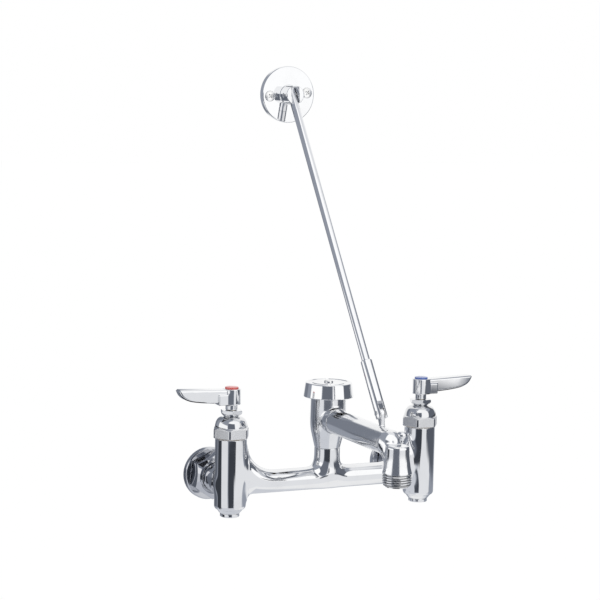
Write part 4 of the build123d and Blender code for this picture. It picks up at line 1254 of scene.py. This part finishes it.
@dataclass
class Breaker:
    """Vacuum breaker: housing with the spout's boss, and its cap."""

    layout: Layout
    base: float = 30.0
    top: float = 80.0
    neck: float = 12.4
    drum: float = 17.3
    spigot: float = 10.0
    chambers: Bores = ((0.0, 120.0, 7.5), (44.0, 120.0, 11.6), (75.5, 120.0, 14.6))
    boss: float = 12.5
    boss_reach: float = 22.0
    boss_bore: float = 9.6
    cap_base: float = 79.8
    cap_roof: float = 93.8
    cap_rim: float = 24.65
    cap_crown: float = 22.9
    cap_post: float = 6.0
    screw_hole: float = 2.7
    wall: float = 2.2
    step: float = 0.75

    def housing(self, p: Array) -> Array:
        """Housing: a flask that swells from the riser to the drum, with the boss, less the chambers."""
        axis, spout, start = self.layout.riser(), self.layout.spout(), -self.layout.valve_y
        growth = self.drum - self.neck
        shares = ((0.0, 0.0), (8.6, 0.42), (18.6, 0.86), (28.5, 1.0), (36.0, 1.0))
        knots = [(self.base + rise, self.neck + share * growth) for rise, share in shares]
        flank = spline([(self.base - 3.0, self.neck - 0.7), *knots], 200)
        along, out = axis.split(p)
        ends = np.maximum(along - self.top, self.base - along)
        flask = keep_within(out - radius_at(along, flank), ends)
        body = join(flask, bar(p, spout, start, start + self.boss_reach, self.boss, 0.5), 3.0)
        body = join(body, bar(p, axis, self.base - 8.0, self.base + 2.0, self.spigot), 0.2)
        body = drill(body, p, axis, self.chambers)
        return drill(body, p, spout, ((start, 120.0, self.boss_bore),))

    def cap_profile(self) -> Profile:
        """Section of the cap: tapered skirt, rounded shoulder, shallow ring on the roof and centre post."""
        crown, roof, under = self.cap_crown, self.cap_roof, self.cap_roof - self.wall
        return [
            (self.screw_hole, roof),
            (crown - 6.6, roof),
            (crown - 6.2, roof - 0.5),
            (crown - 3.6, roof - 0.5),
            (crown - 3.2, roof),
            *arc((crown - 1.3, roof - 1.3), 1.3, 90.0, 8.0),
            (self.cap_rim - 0.1, self.cap_base + 0.5),
            (self.cap_rim - 0.5, self.cap_base),
            (self.cap_rim - self.wall, self.cap_base),
            (crown - self.wall, under),
            (self.cap_post, under),
            (self.cap_post, self.top + 6.0),
            (self.screw_hole, self.top + 6.0),
        ]

    def build(self, finishes: Finishes) -> None:
        """Make the housing and the cap."""
        housing = Seat(Body.FAUCET, "chrome_cast", "breaker_housing")
        cast("breaker_flask", self.housing, self.step, finishes["chrome_satin"], housing)
        cap = Seat(Body.FAUCET, "chrome_turned", "breaker_cap")
        turned("breaker_bell", self.cap_profile(), self.layout.riser(), 180, finishes["chrome_turned"], cap)


@dataclass
class Spout:
    """Spout with its bent nose, outlet, hose thread, pail hook and brace lug."""

    layout: Layout
    start: float = 80.0
    tail: float = 9.5
    tail_start: float = 70.7
    tube: float = 11.9
    tube_bore: float = 8.4
    nose_setback: float = 17.2
    outlet: float = 10.7
    outlet_bore: float = 8.8
    outlet_bore_top: float = 46.0
    bell_top: float = 52.8
    thread_top: float = 32.8
    bottom: float = 21.8
    thread: float = 13.45
    thread_root: float = 12.45
    pitch: float = 2.2
    washer_seat: float = 10.8
    bend: float = 30.0
    bend_tube: float = 10.4
    hook_setout: float = 7.3
    hook_neck: Profile = ((2.0, 1.9), (6.4, 2.0), (8.0, 2.6), (9.4, 3.7), (10.6, 4.9))
    hook_head: float = 4.7
    hook_ball: float = 5.4
    hook_crown: float = 14.9
    lug_half: float = 2.1
    lug_depth: float = 14.5
    lug_head: float = 4.6
    lug_foot: float = 8.1
    lug_lean: float = 1.6
    pin_hole: float = 2.5
    step: float = 0.7

    def elbow(self, p: Array) -> Array:
        """Quarter ring that carries the tube's underside down into the outlet."""
        forward = np.maximum(self.layout.outlet_y + self.bend - p[:, 1], 0.0)
        upward = np.maximum(p[:, 2] - self.layout.spout_z + self.bend, 0.0)
        return np.hypot(np.hypot(forward, upward) - self.bend, p[:, 0]) - self.bend_tube

    def drop(self, p: Array) -> Array:
        """Outlet: a round-topped drop that flares over the thread."""
        flare = ((-0.5, 0.0), (0.6, 0.0), (3.2, 0.62), (7.6, 1.45), (13.0, 2.25))
        knots = [(self.thread_top + rise, self.thread - loss) for rise, loss in flare]
        bell = spline([*knots, (self.bell_top, self.outlet), (self.bell_top + 8.0, self.outlet)], 160)
        along, out = self.layout.outlet().split(p)
        body = keep_within(out - radius_at(along, bell), along - self.layout.spout_z - 0.5, 4.0)
        return keep_within(body, self.thread_top - along, CRISP)

    def hook(self, p: Array) -> Array:
        """Pail hook: a neck that widens like a trumpet under a round head."""
        axis = Line((0.0, self.layout.outlet_y - self.hook_setout, self.layout.spout_z))
        along, out = axis.split(p)
        crown = np.hypot(out, along - self.hook_crown + self.hook_ball) - self.hook_ball
        head = keep_within(out - radius_at(along, self.hook_neck), crown, 0.5)
        return np.maximum(keep_within(head, out - self.hook_head, 0.5), -6.0 - along)

    def lug(self, p: Array) -> Array:
        """Lug: a plate that runs from a wide foot to a round head, in the plane that the rod leans in."""
        relative = p - self.layout.lower_pivot
        upward = relative @ np.cross(self.layout.across, (0.0, 1.0, 0.0))
        forward = relative[:, 1] + self.lug_lean * np.clip(-relative[:, 2] / 14.0, 0.0, 1.0)
        depth, head, foot = self.lug_depth, self.lug_head, self.lug_foot
        lean = (foot - head) / depth
        turn = math.sqrt(1.0 - lean**2)
        width, drop = np.abs(forward), -upward
        level = width * -lean + drop * turn
        at_foot = np.where(
            level > turn * depth, np.hypot(width, drop - depth) - foot, width * turn + drop * lean - head
        )
        tapered = np.where(level < 0.0, np.hypot(width, drop) - head, at_foot)
        return slab(tapered, relative @ self.layout.across, self.lug_half, 0.5)

    def shape(self, p: Array) -> Array:
        """Spout casting: tube, tail, elbow, outlet, hook and lug, less the waterway and the pin's hole."""
        layout, spout = self.layout, self.layout.spout()
        nose = -layout.outlet_y - self.nose_setback
        along, out = spout.split(p)
        tube = np.where(along > nose, np.hypot(along - nose, out), out) - self.tube
        body = join(keep_within(tube, self.start - along), self.elbow(p), 5.0)
        behind = np.clip((p[:, 1] - layout.outlet_y) / self.outlet, 0.0, 1.0)
        tail = bar(p, spout, self.tail_start, self.start + 4.0, self.tail)
        for added, fillet in (
            (self.drop(p), 0.4 + 5.0 * behind**2),
            (self.hook(p), 0.8),
            (self.lug(p), 2.2),
            (tail, 0.2),
        ):
            body = join(body, added, fillet)
        body = drill(body, p, spout, ((0.0, nose, self.tube_bore),))
        body = drill(body, p, layout.outlet(), ((0.0, self.outlet_bore_top, self.outlet_bore),))
        return drill(body, p, layout.pin(layout.lower_pivot), ((-10.0, 10.0, self.pin_hole),))

    def thread_sleeve(self) -> tuple[Array, Array]:
        """Hose thread, whose ridge is where height plus pitch times turns is whole, and fades at both ends.

        Returns:
            Points and quads.
        """
        rows, columns = 110, 160
        top, bottom, root = self.thread_top, self.bottom, self.thread_root
        seat, bore = self.washer_seat, self.outlet_bore
        angle = np.linspace(0.0, 2 * math.pi, columns, endpoint=False)[None, :]
        z = np.linspace(top + 0.6, bottom + 0.5, rows)[:, None]
        phase = np.mod((z - self.pitch * angle / (2 * math.pi)) / self.pitch, 1.0)
        ridge = np.clip((0.46 - np.abs(phase - 0.5)) / 0.26, 0.0, 1.0)
        fade = np.clip((top - 0.4 - z) / 1.4, 0.0, 1.0) * np.clip((z - bottom - 0.7) / 1.6, 0.0, 1.0)
        rim = [(root - 0.5, bottom), (seat + 0.1, bottom), (seat, bottom + 0.2), (seat, top)]
        rim += [(bore, top + 0.2), (bore, top + 1.5), (seat + 0.2, top + 1.5)]
        rim_out, rim_level = (np.repeat(np.array(values)[:, None], columns, axis=1) for values in zip(*rim))
        out = np.vstack([root + (self.thread - root) * ridge * fade, rim_out])
        height = np.vstack([np.repeat(z, columns, axis=1), rim_level])
        x, y, _ = self.layout.outlet().point
        points = np.stack([x + out * np.cos(angle), y + out * np.sin(angle), height], axis=-1)
        return points.reshape(-1, 3), wrap(len(out), columns, closed=True)

    def build(self, finishes: Finishes) -> None:
        """Make the casting and its thread."""
        seat = Seat(Body.FAUCET, "chrome_cast", "spout")
        cast("spout_casting", self.shape, self.step, finishes["chrome_satin"], seat)
        x, y, _ = (number * MM for number in self.layout.outlet().point)
        # The thread's grooves are darkened towards their roots: painted shade.
        grooves = Ring(x, y, (self.thread_root + 0.25) * MM, (self.thread - 0.15) * MM)
        finish = Plating("chrome_thread_painted_shade", grooves=grooves).material()
        place(add_piece("hose_thread", *self.thread_sleeve(), finish, sharp=50.0), seat)


@dataclass
class Brace:
    """Brace: forked sleeve, rod, and the wall flange with its slotted post and screws."""

    layout: Layout
    rod: float = 3.97
    rod_foot: float = 18.0
    eye_half: float = 3.7
    eye_reach: float = 7.0
    eye_length: float = 13.0
    eye_overlap: float = 4.0
    sleeve: float = 5.5
    sleeve_top: float = 51.5
    slot_depth: float = 10.2
    slot_half: float = 2.25
    set_screw: float = 2.05
    set_screw_at: float = 40.5
    lower_pin: float = 2.45
    upper_pin: float = 1.8
    play: float = 0.05
    flange: float = 27.4
    flange_thick: float = 7.0
    post: float = 9.15
    post_end: float = 23.3
    screw_spacing: float = 39.3
    screw_head: float = 5.0
    screw_ball: float = 15.2
    screw_profile: Profile = (
        (-12.0, 0.8), (-9.5, 2.2), (0.0, 2.2), (0.4, 2.4), (4.7, 2.4), (7.0, 5.0), (7.3, 5.0)
    )
    sink_profile: Profile = ((-2.0, 2.6), (4.6, 2.6), (7.0, 5.1), (12.0, 5.1))
    recess_turn: float = 38.0
    recess_at: float = 8.6
    recess_half: tuple[float, float] = (2.3, 0.55)
    recess_depth: float = 2.4

    def axes(self) -> Array:
        """Rows: across the rod, square to that, and along the rod."""
        across, along = self.layout.across, self.layout.along
        return np.array([across, np.cross(along, across), along])

    def sleeve_shape(self, p: Array) -> Array:
        """Forked sleeve: a round bar, slotted for the lug, rounded at its foot and bored for the rod."""
        axis, axes, pivot = self.layout.rod(), self.axes(), self.layout.lower_pivot
        _, front, along = ((p - pivot) @ axes.T).T
        foot = np.where(along < 0.0, np.hypot(front, along), np.abs(front)) - self.sleeve
        body = keep_within(bar(p, axis, -self.sleeve, self.sleeve_top, self.sleeve, 0.8), foot, 0.8)
        body = carve(body, block(p, pivot, axes, (self.slot_half, 20.0, self.slot_depth), 0.3), 0.5)
        screw = Line(pivot + self.set_screw_at * self.layout.along, axes[1])
        for line, bore in (
            (axis, (self.slot_depth + 3.0, 80.0, self.rod + self.play)),
            (self.layout.pin(pivot), (-20.0, 20.0, self.lower_pin + self.play)),
            (screw, (0.0, 20.0, self.set_screw)),
        ):
            body = drill(body, p, line, (bore,), CRISP)
        return body

    def rod_end(self, p: Array) -> Array:
        """End of the rod: the round bar with two flats, a round tip and a pin hole."""
        side, front, along = ((p - self.layout.upper_pivot) @ self.axes().T).T
        tip = self.eye_reach - self.rod
        nose = np.where(along > tip, np.hypot(front, along - tip), np.abs(front)) - self.rod
        body = keep_within(np.hypot(side, front) - self.rod, nose, 0.6)
        body = keep_within(body, -(self.eye_length + self.eye_overlap) - along, 0.2)
        body = carve(body, np.maximum(self.eye_half - np.abs(side), -self.eye_length - along), 0.1)
        pin = self.layout.pin(self.layout.upper_pivot)
        return drill(body, p, pin, ((-10.0, 10.0, self.upper_pin + self.play),), CRISP)

    def foot_axis(self) -> Line:
        """Axis of the wall flange, from the wall towards the user."""
        return Line((self.layout.upper_pivot[0], 0.0, self.layout.upper_pivot[2]), TO_USER)

    def screw_axis(self, way: int) -> Line:
        """Axis of the wall screw on one side of the flange."""
        return Line(self.foot_axis().point + way * self.screw_spacing / 2 * self.layout.across, TO_USER)

    def flange_shape(self, p: Array) -> Array:
        """Wall flange: a thick disc and a post slotted for the rod's eye, countersunk for two screws."""
        axis, across = self.foot_axis(), self.layout.across
        axes = np.array([across, np.cross(across, TO_USER), TO_USER])
        disc = bar(p, axis, 0.0, self.flange_thick, self.flange, 1.1)
        body = join(disc, bar(p, axis, 1.0, self.post_end, self.post, 0.6), 1.0)
        half = (self.eye_half + 0.15, 30.0, 20.0)
        middle = np.array(axis.point) + np.array(TO_USER) * (self.flange_thick + 0.5 + half[2])
        body = carve(body, block(p, middle, axes, half, 0.3), 0.5)
        pin = self.layout.pin(self.layout.upper_pivot)
        body = drill(body, p, pin, ((-20.0, 20.0, self.upper_pin + self.play),), CRISP)
        for way in (-1, 1):
            body = carve(body, spindle(p, self.screw_axis(way), self.sink_profile, 0.2), CRISP)
        return body

    def screw(self, p: Array, way: int) -> Array:
        """Wall screw: an oval head with a cross recess, a plain shank and a thread into the wall."""
        axis, across = self.screw_axis(way), self.layout.across
        along, out = axis.split(p)
        crown = np.hypot(out, along + 6.5) - self.screw_ball
        head = keep_within(keep_within(out - self.screw_head, crown), 6.6 - along, 0.2)
        body = join(spindle(p, axis, self.screw_profile, 0.2), head, 0.2)
        turn = math.radians(self.recess_turn * way)
        first = math.cos(turn) * across + math.sin(turn) * np.cross(across, TO_USER)
        rows = np.array([first, np.cross(first, TO_USER), TO_USER])
        tip = np.array(axis.point) + self.recess_at * np.array(TO_USER)
        for half in (self.recess_half, self.recess_half[::-1]):
            body = carve(body, block(p, tip, rows, (*half, self.recess_depth), 0.2), CRISP)
        return body

    def screws_shape(self, p: Array) -> Array:
        """Both wall screws."""
        return np.minimum(self.screw(p, -1), self.screw(p, 1))

    def rod_pieces(self, finish: Material) -> None:
        """Rod: a turned shaft, and its flattened end as a skin of its own."""
        seat = Seat(Body.BRACE_TIE, "chrome_rod", "brace_rod")
        upper, foot = self.layout.upper_pivot, self.rod_foot
        length = float(np.linalg.norm(upper - self.layout.lower_pivot))
        end = length - self.eye_length - self.eye_overlap
        profile = [(0.0, foot), (0.0, end), (self.rod, end), (self.rod, foot + 0.6), (self.rod - 0.6, foot)]
        place(add_piece("rod_shaft", *lathe(profile, self.layout.rod(), 72, longest=6.0), finish), seat)
        points, faces, normals = skin(self.rod_end, upper - 22.0, upper + 10.0, 0.4)
        place(add_piece("rod_eye", points, faces, finish, normals), seat)

    def build(self, finishes: Finishes) -> None:
        """Make the sleeve, the rod, the flange and the screws."""
        plate = finishes["chrome_turned"]
        sleeve = Seat(Body.BRACE_FORK, "chrome_turned", "brace_sleeve")
        cast("forked_sleeve", self.sleeve_shape, 0.5, plate, sleeve)
        self.rod_pieces(finishes["chrome_rod"])
        flange = Seat(Body.BRACE_FOOT, "chrome_turned", "brace_flange")
        cast("brace_wall_disc", self.flange_shape, 0.6, plate, flange)
        screws = Seat(Body.BRACE_FOOT, "stainless", "wall_screws")
        cast("cross_head_screws", self.screws_shape, 0.36, finishes["stainless"], screws)


# ---- Studio ---------------------------------------------------------------------------------


@dataclass(frozen=True)
class Panel:
    """One soft box, screen or flag of the tent, in degrees: its middle, half its size and its edge."""

    name: str
    bearing: float
    half_width: float
    height: float
    half_height: float
    level: float
    edge: float = 2.0

    def share(self, sheet: Sheet, bearing: Socket, height: Socket) -> Socket:
        """1 where a bearing and a height, in radians, lie in the panel, fading to 0 over its edge.

        Args:
            sheet: Tree to add to.
            bearing: Bearing of the point seen.
            height: Height of the point seen.

        Returns:
            How far the panel covers the point.
        """
        offset = sheet.node("ShaderNodeMath", operation="WRAP")
        sheet.join(sheet.sum("SUBTRACT", bearing, math.radians(self.bearing)), offset.inputs[0])
        offset.inputs[1].default_value, offset.inputs[2].default_value = math.pi, -math.pi
        above = sheet.sum("SUBTRACT", height, math.radians(self.height))
        shares = []
        for away, half in ((offset.outputs[0], self.half_width), (above, self.half_height)):
            near, far = math.radians(half - self.edge), math.radians(half + self.edge)
            shares.append(sheet.ramp(sheet.sum("ABSOLUTE", away), near, far, 1.0, 0.0))
        return sheet.sum("MULTIPLY", *shares)


@dataclass
class Studio:
    """Camera, light tent, lamps, cards and floor, in metres and degrees."""

    layout: Layout
    camera_at: tuple[float, float, float] = (-0.8090, -1.7254, 0.3930)
    azimuth: float = 24.958
    pitch: float = 6.772
    roll: float = -1.277
    focal: float = 1937.73
    image: float = 600.0
    sensor: float = 36.0
    floor_z: float = -1.3
    floor_half: float = 30.0
    floor_shade: Colour = (0.86, 0.86, 0.86)
    floor_glow: float = 1.06
    floor_glow_share: float = 0.85
    sky_seen: float = 1.0
    sky_lights: float = 0.75
    lamp_aim: tuple[float, float, float] = (0.0, -0.1, 0.1)
    tent_radius: float = 0.42
    tent_at: tuple[float, float, float] = (-0.05, -0.22, 0.22)
    shade: Colour = (0.86, 0.97, 1.22)
    fabric: float = 0.37
    matt: float = 0.9
    card_shade: Colour = (0.02, 0.02, 0.025)
    card_out: float = 45.0
    card_half: tuple[float, float] = (26.0, 36.0)
    card_back: float = 10.0
    card_height: float = 55.0
    panels: tuple[Panel, ...] = (
        Panel("floor_sweep", 0.0, 190.0, -78.0, 30.0, 0.72),
        Panel("floor_light", 120.0, 62.0, -76.0, 24.0, 0.98, 6.0),
        Panel("left_box_foot", -69.0, 24.0, -37.0, 14.0, 0.86),
        Panel("left_box", -79.0, 33.0, -14.0, 12.0, 1.22),
        Panel("roof_box", 22.0, 67.0, 62.0, 38.0, 1.25, 4.0),
        Panel("back_roof", 140.0, 60.0, 66.0, 34.0, 0.90, 5.0),
        Panel("right_box", 60.0, 36.0, 20.0, 50.0, 1.20),
        Panel("right_box_foot", 76.0, 50.0, -56.0, 28.0, 0.90),
        Panel("back_screen", 176.0, 28.0, 10.0, 38.0, 1.05, 4.0),
        Panel("front_flag", -11.0, 31.0, -12.0, 34.0, 0.18),
        Panel("front_foot", -9.0, 29.0, -48.0, 9.0, 0.17),
        Panel("front_core", 1.0, 36.0, -42.0, 5.5, 0.055, 3.0),
        Panel("front_core_foot", -8.0, 28.0, -49.0, 5.5, 0.06, 3.0),
        Panel("left_flag", -105.0, 11.0, -40.0, 12.0, 0.05),
        Panel("left_wing", -131.0, 11.0, -34.0, 8.0, 0.15),
        Panel("right_flag", 124.0, 27.0, -13.0, 19.0, 0.16),
        Panel("right_wing", 118.0, 33.0, -32.0, 5.0, 0.12),
        Panel("back_flag", -143.0, 11.0, -10.0, 20.0, 0.24),
    )

    def camera(self) -> None:
        """Point the camera: forward from its azimuth and pitch, then rolled about that."""
        a, e, r = (math.radians(angle) for angle in (self.azimuth, self.pitch, self.roll))
        forward = Vector((math.sin(a) * math.cos(e), math.cos(a) * math.cos(e), -math.sin(e)))
        right = Vector((math.cos(a), -math.sin(a), 0.0))
        down = forward.cross(right)
        right, down = math.cos(r) * right + math.sin(r) * down, -math.sin(r) * right + math.cos(r) * down
        data = bpy.data.cameras.new("camera")
        data.sensor_fit = "HORIZONTAL"
        data.sensor_width = self.sensor
        data.lens = self.focal * self.sensor / self.image
        data.clip_end = 50.0
        view = bpy.data.objects.new("camera", data)
        turned_to = Matrix((right, -down, -forward)).transposed().to_4x4()
        view.matrix_world = Matrix.Translation(self.camera_at) @ turned_to
        bpy.context.scene.collection.objects.link(view)
        bpy.context.scene.camera = view

    def world(self) -> None:
        """White to the camera and to mirrors, and a plain soft level to everything else."""
        world = bpy.data.worlds.new("studio")
        world.use_nodes = True
        sheet = Sheet(world.node_tree)
        back = world.node_tree.nodes["Background"]
        back.inputs["Color"].default_value = (1.0, 1.0, 1.0, 1.0)
        level = sheet.ramp(sheet.seen(), 0.0, 1.0, self.sky_lights, self.sky_seen)
        sheet.join(level, back.inputs["Strength"])
        bpy.context.scene.world = world

    def tinted(self, level: float) -> Colour:
        """Colour of a panel: neutral where it is light, and towards blue where it is dark."""
        light = min(level, 1.0)
        return tuple(level * (light + (1.0 - light) * tint) for tint in self.shade)

    @staticmethod
    def for_mirrors(piece: bpy.types.Object) -> None:
        """Hide a piece of the studio from all but mirrors."""
        for ray in ("camera", "diffuse", "shadow", "transmission"):
            setattr(piece, f"visible_{ray}", False)
        piece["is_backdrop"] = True

    def tent_finish(self) -> Material:
        """Glow of the tent: its panels laid over the fabric one after another.

        A point of the tent has a bearing, turned from the camera's side to the right, and a height above the
        tent's middle.  A panel covers it where both lie within half its size of its own.

        Returns:
            The material.
        """
        finish = bpy.data.materials.new("tent_panels")
        finish.use_nodes = True
        finish.node_tree.nodes.clear()
        sheet = Sheet(finish.node_tree)
        centred = sheet.node("ShaderNodeVectorMath", operation="SUBTRACT")
        sheet.join(sheet.node("ShaderNodeTexCoord").outputs["Object"], centred.inputs[0])
        centred.inputs[1].default_value = self.tent_at
        x, y, z = sheet.split(centred.outputs[0])
        a = math.radians(self.azimuth)
        toward, right = (
            sheet.sum("ADD", sheet.sum("MULTIPLY", x, across), sheet.sum("MULTIPLY", y, ahead))
            for across, ahead in ((-math.sin(a), -math.cos(a)), (math.cos(a), -math.sin(a)))
        )
        bearing = sheet.sum("ARCTAN2", right, toward)
        height = sheet.sum("ARCSINE", sheet.sum("DIVIDE", z, self.tent_radius))
        colour = sheet.node("ShaderNodeRGB").outputs[0]
        sheet.feed(colour, self.tinted(self.fabric))
        for panel in self.panels:
            colour = sheet.blend(panel.share(sheet, bearing, height), colour, self.tinted(panel.level))
        glow = sheet.node("ShaderNodeEmission")
        sheet.join(colour, glow.inputs["Color"])
        sheet.join(glow.outputs[0], sheet.node("ShaderNodeOutputMaterial").inputs[0])
        return finish

    def tent(self) -> None:
        """Round tent that only mirrors see: the radius times cosines and sines of a bearing and a height."""
        rows, columns, steepest = 60, 144, math.radians(89.0)
        turn = np.linspace(0.0, 2 * math.pi, columns, endpoint=False)[None, :]
        rise = np.linspace(-steepest, steepest, rows)[:, None]
        level = np.cos(rise)
        ways = [level * np.sin(turn), level * np.cos(turn), np.sin(rise) * np.ones_like(turn)]
        points = (self.tent_radius * np.stack(ways, axis=-1) + np.array(self.tent_at)) / MM
        faces = wrap(rows, columns, closed=False)[:, ::-1]
        self.for_mirrors(add_piece("light_tent", points.reshape(-1, 3), faces, self.tent_finish()))

    def cards(self) -> None:
        """Black card under each lever, which only mirrors see and which draws the lever's lower edge."""
        finish = Bench("card_black", Roughness=self.matt)
        finish.sheet.feed(finish.shader.inputs["Base Color"], self.card_shade)
        square = np.array([(-1.0, -1.0), (1.0, -1.0), (1.0, 1.0), (-1.0, 1.0)]) * self.card_half
        for side in Side:
            out = side.value * (self.layout.half_spacing + self.card_out)
            middle = (out, self.layout.valve_y + self.card_back)
            points = np.column_stack([square + middle, np.full(4, self.card_height)])
            card = add_piece(side.named("lever_card"), points, np.array([[0, 1, 2, 3]]), finish.material)
            self.for_mirrors(card)

    def floor(self) -> None:
        """Pale floor, which mirrors and the camera see near white and which keeps the faucet's shadow."""
        count = 9
        ticks = np.linspace(-self.floor_half, self.floor_half, count) / MM
        x, y = np.meshgrid(ticks, ticks, indexing="ij")
        points = np.stack([x, y, np.full_like(x, self.floor_z / MM)], axis=-1).reshape(-1, 3)
        row, column = np.meshgrid(np.arange(count - 1), np.arange(count - 1), indexing="ij")
        first = (row * count + column).ravel()
        faces = np.stack([first, first + count, first + count + 1, first + 1], axis=1)
        finish = Bench("floor", Roughness=self.matt)
        sheet, shader = finish.sheet, finish.shader
        sheet.feed(shader.inputs["Base Color"], self.floor_shade)
        glow, mix = sheet.node("ShaderNodeEmission"), sheet.node("ShaderNodeMixShader")
        glow.inputs["Strength"].default_value = self.floor_glow
        sheet.join(sheet.sum("MULTIPLY", sheet.seen(), self.floor_glow_share), mix.inputs["Fac"])
        sheet.join(shader.outputs[0], mix.inputs[1])
        sheet.join(glow.outputs[0], mix.inputs[2])
        sheet.join(mix.outputs[0], finish.material.node_tree.nodes["Material Output"].inputs[0])
        add_piece("floor", points, faces, finish.material)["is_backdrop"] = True

    def lamp(self, name: str, at: Vector, size: float, power: float) -> None:
        """Large soft lamp that faces the faucet and that mirrors don't show.

        Args:
            name: Name of the lamp.
            at: Its place.
            size: Side of its square.
            power: Watts.
        """
        data = bpy.data.lights.new(name, "AREA")
        data.size, data.energy = size, power
        lamp = bpy.data.objects.new(name, data)
        aim = (Vector(self.lamp_aim) - at).to_track_quat("-Z", "Y")
        lamp.matrix_world = Matrix.Translation(at) @ aim.to_matrix().to_4x4()
        lamp.visible_glossy = False
        bpy.context.scene.collection.objects.link(lamp)

    def build(self) -> None:
        """Set up the studio."""
        self.camera()
        self.world()
        self.tent()
        self.cards()
        self.floor()
        self.lamp("key_lamp", Vector((-1.6, -1.8, 1.9)), 1.4, 26.0)
        self.lamp("fill_lamp", Vector((1.9, -1.3, 1.2)), 1.6, 14.0)
        bpy.context.scene.view_settings.view_transform = "Standard"


def corners() -> list[list[float]]:
    """Lowest and highest corner of the whole object, as plain lists."""
    return [[float(number) for number in corner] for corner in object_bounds()]


def main() -> None:
    """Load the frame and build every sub-assembly."""
    logging.basicConfig(level=logging.INFO, format="%(name)s: %(message)s")
    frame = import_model()
    layout = Layout.read(frame)
    finishes = Finishes()
    finishes.dress(frame)
    ValveBody(layout).build(finishes)
    for side in Side:
        Inlet(layout, side).build(finishes)
        Valve(layout, side).build(finishes)
        Handle(layout, side).build(finishes)
    Breaker(layout).build(finishes)
    Spout(layout).build(finishes)
    Brace(layout).build(finishes)
    Studio(layout).build()


if __name__ == "__main__":
    main()
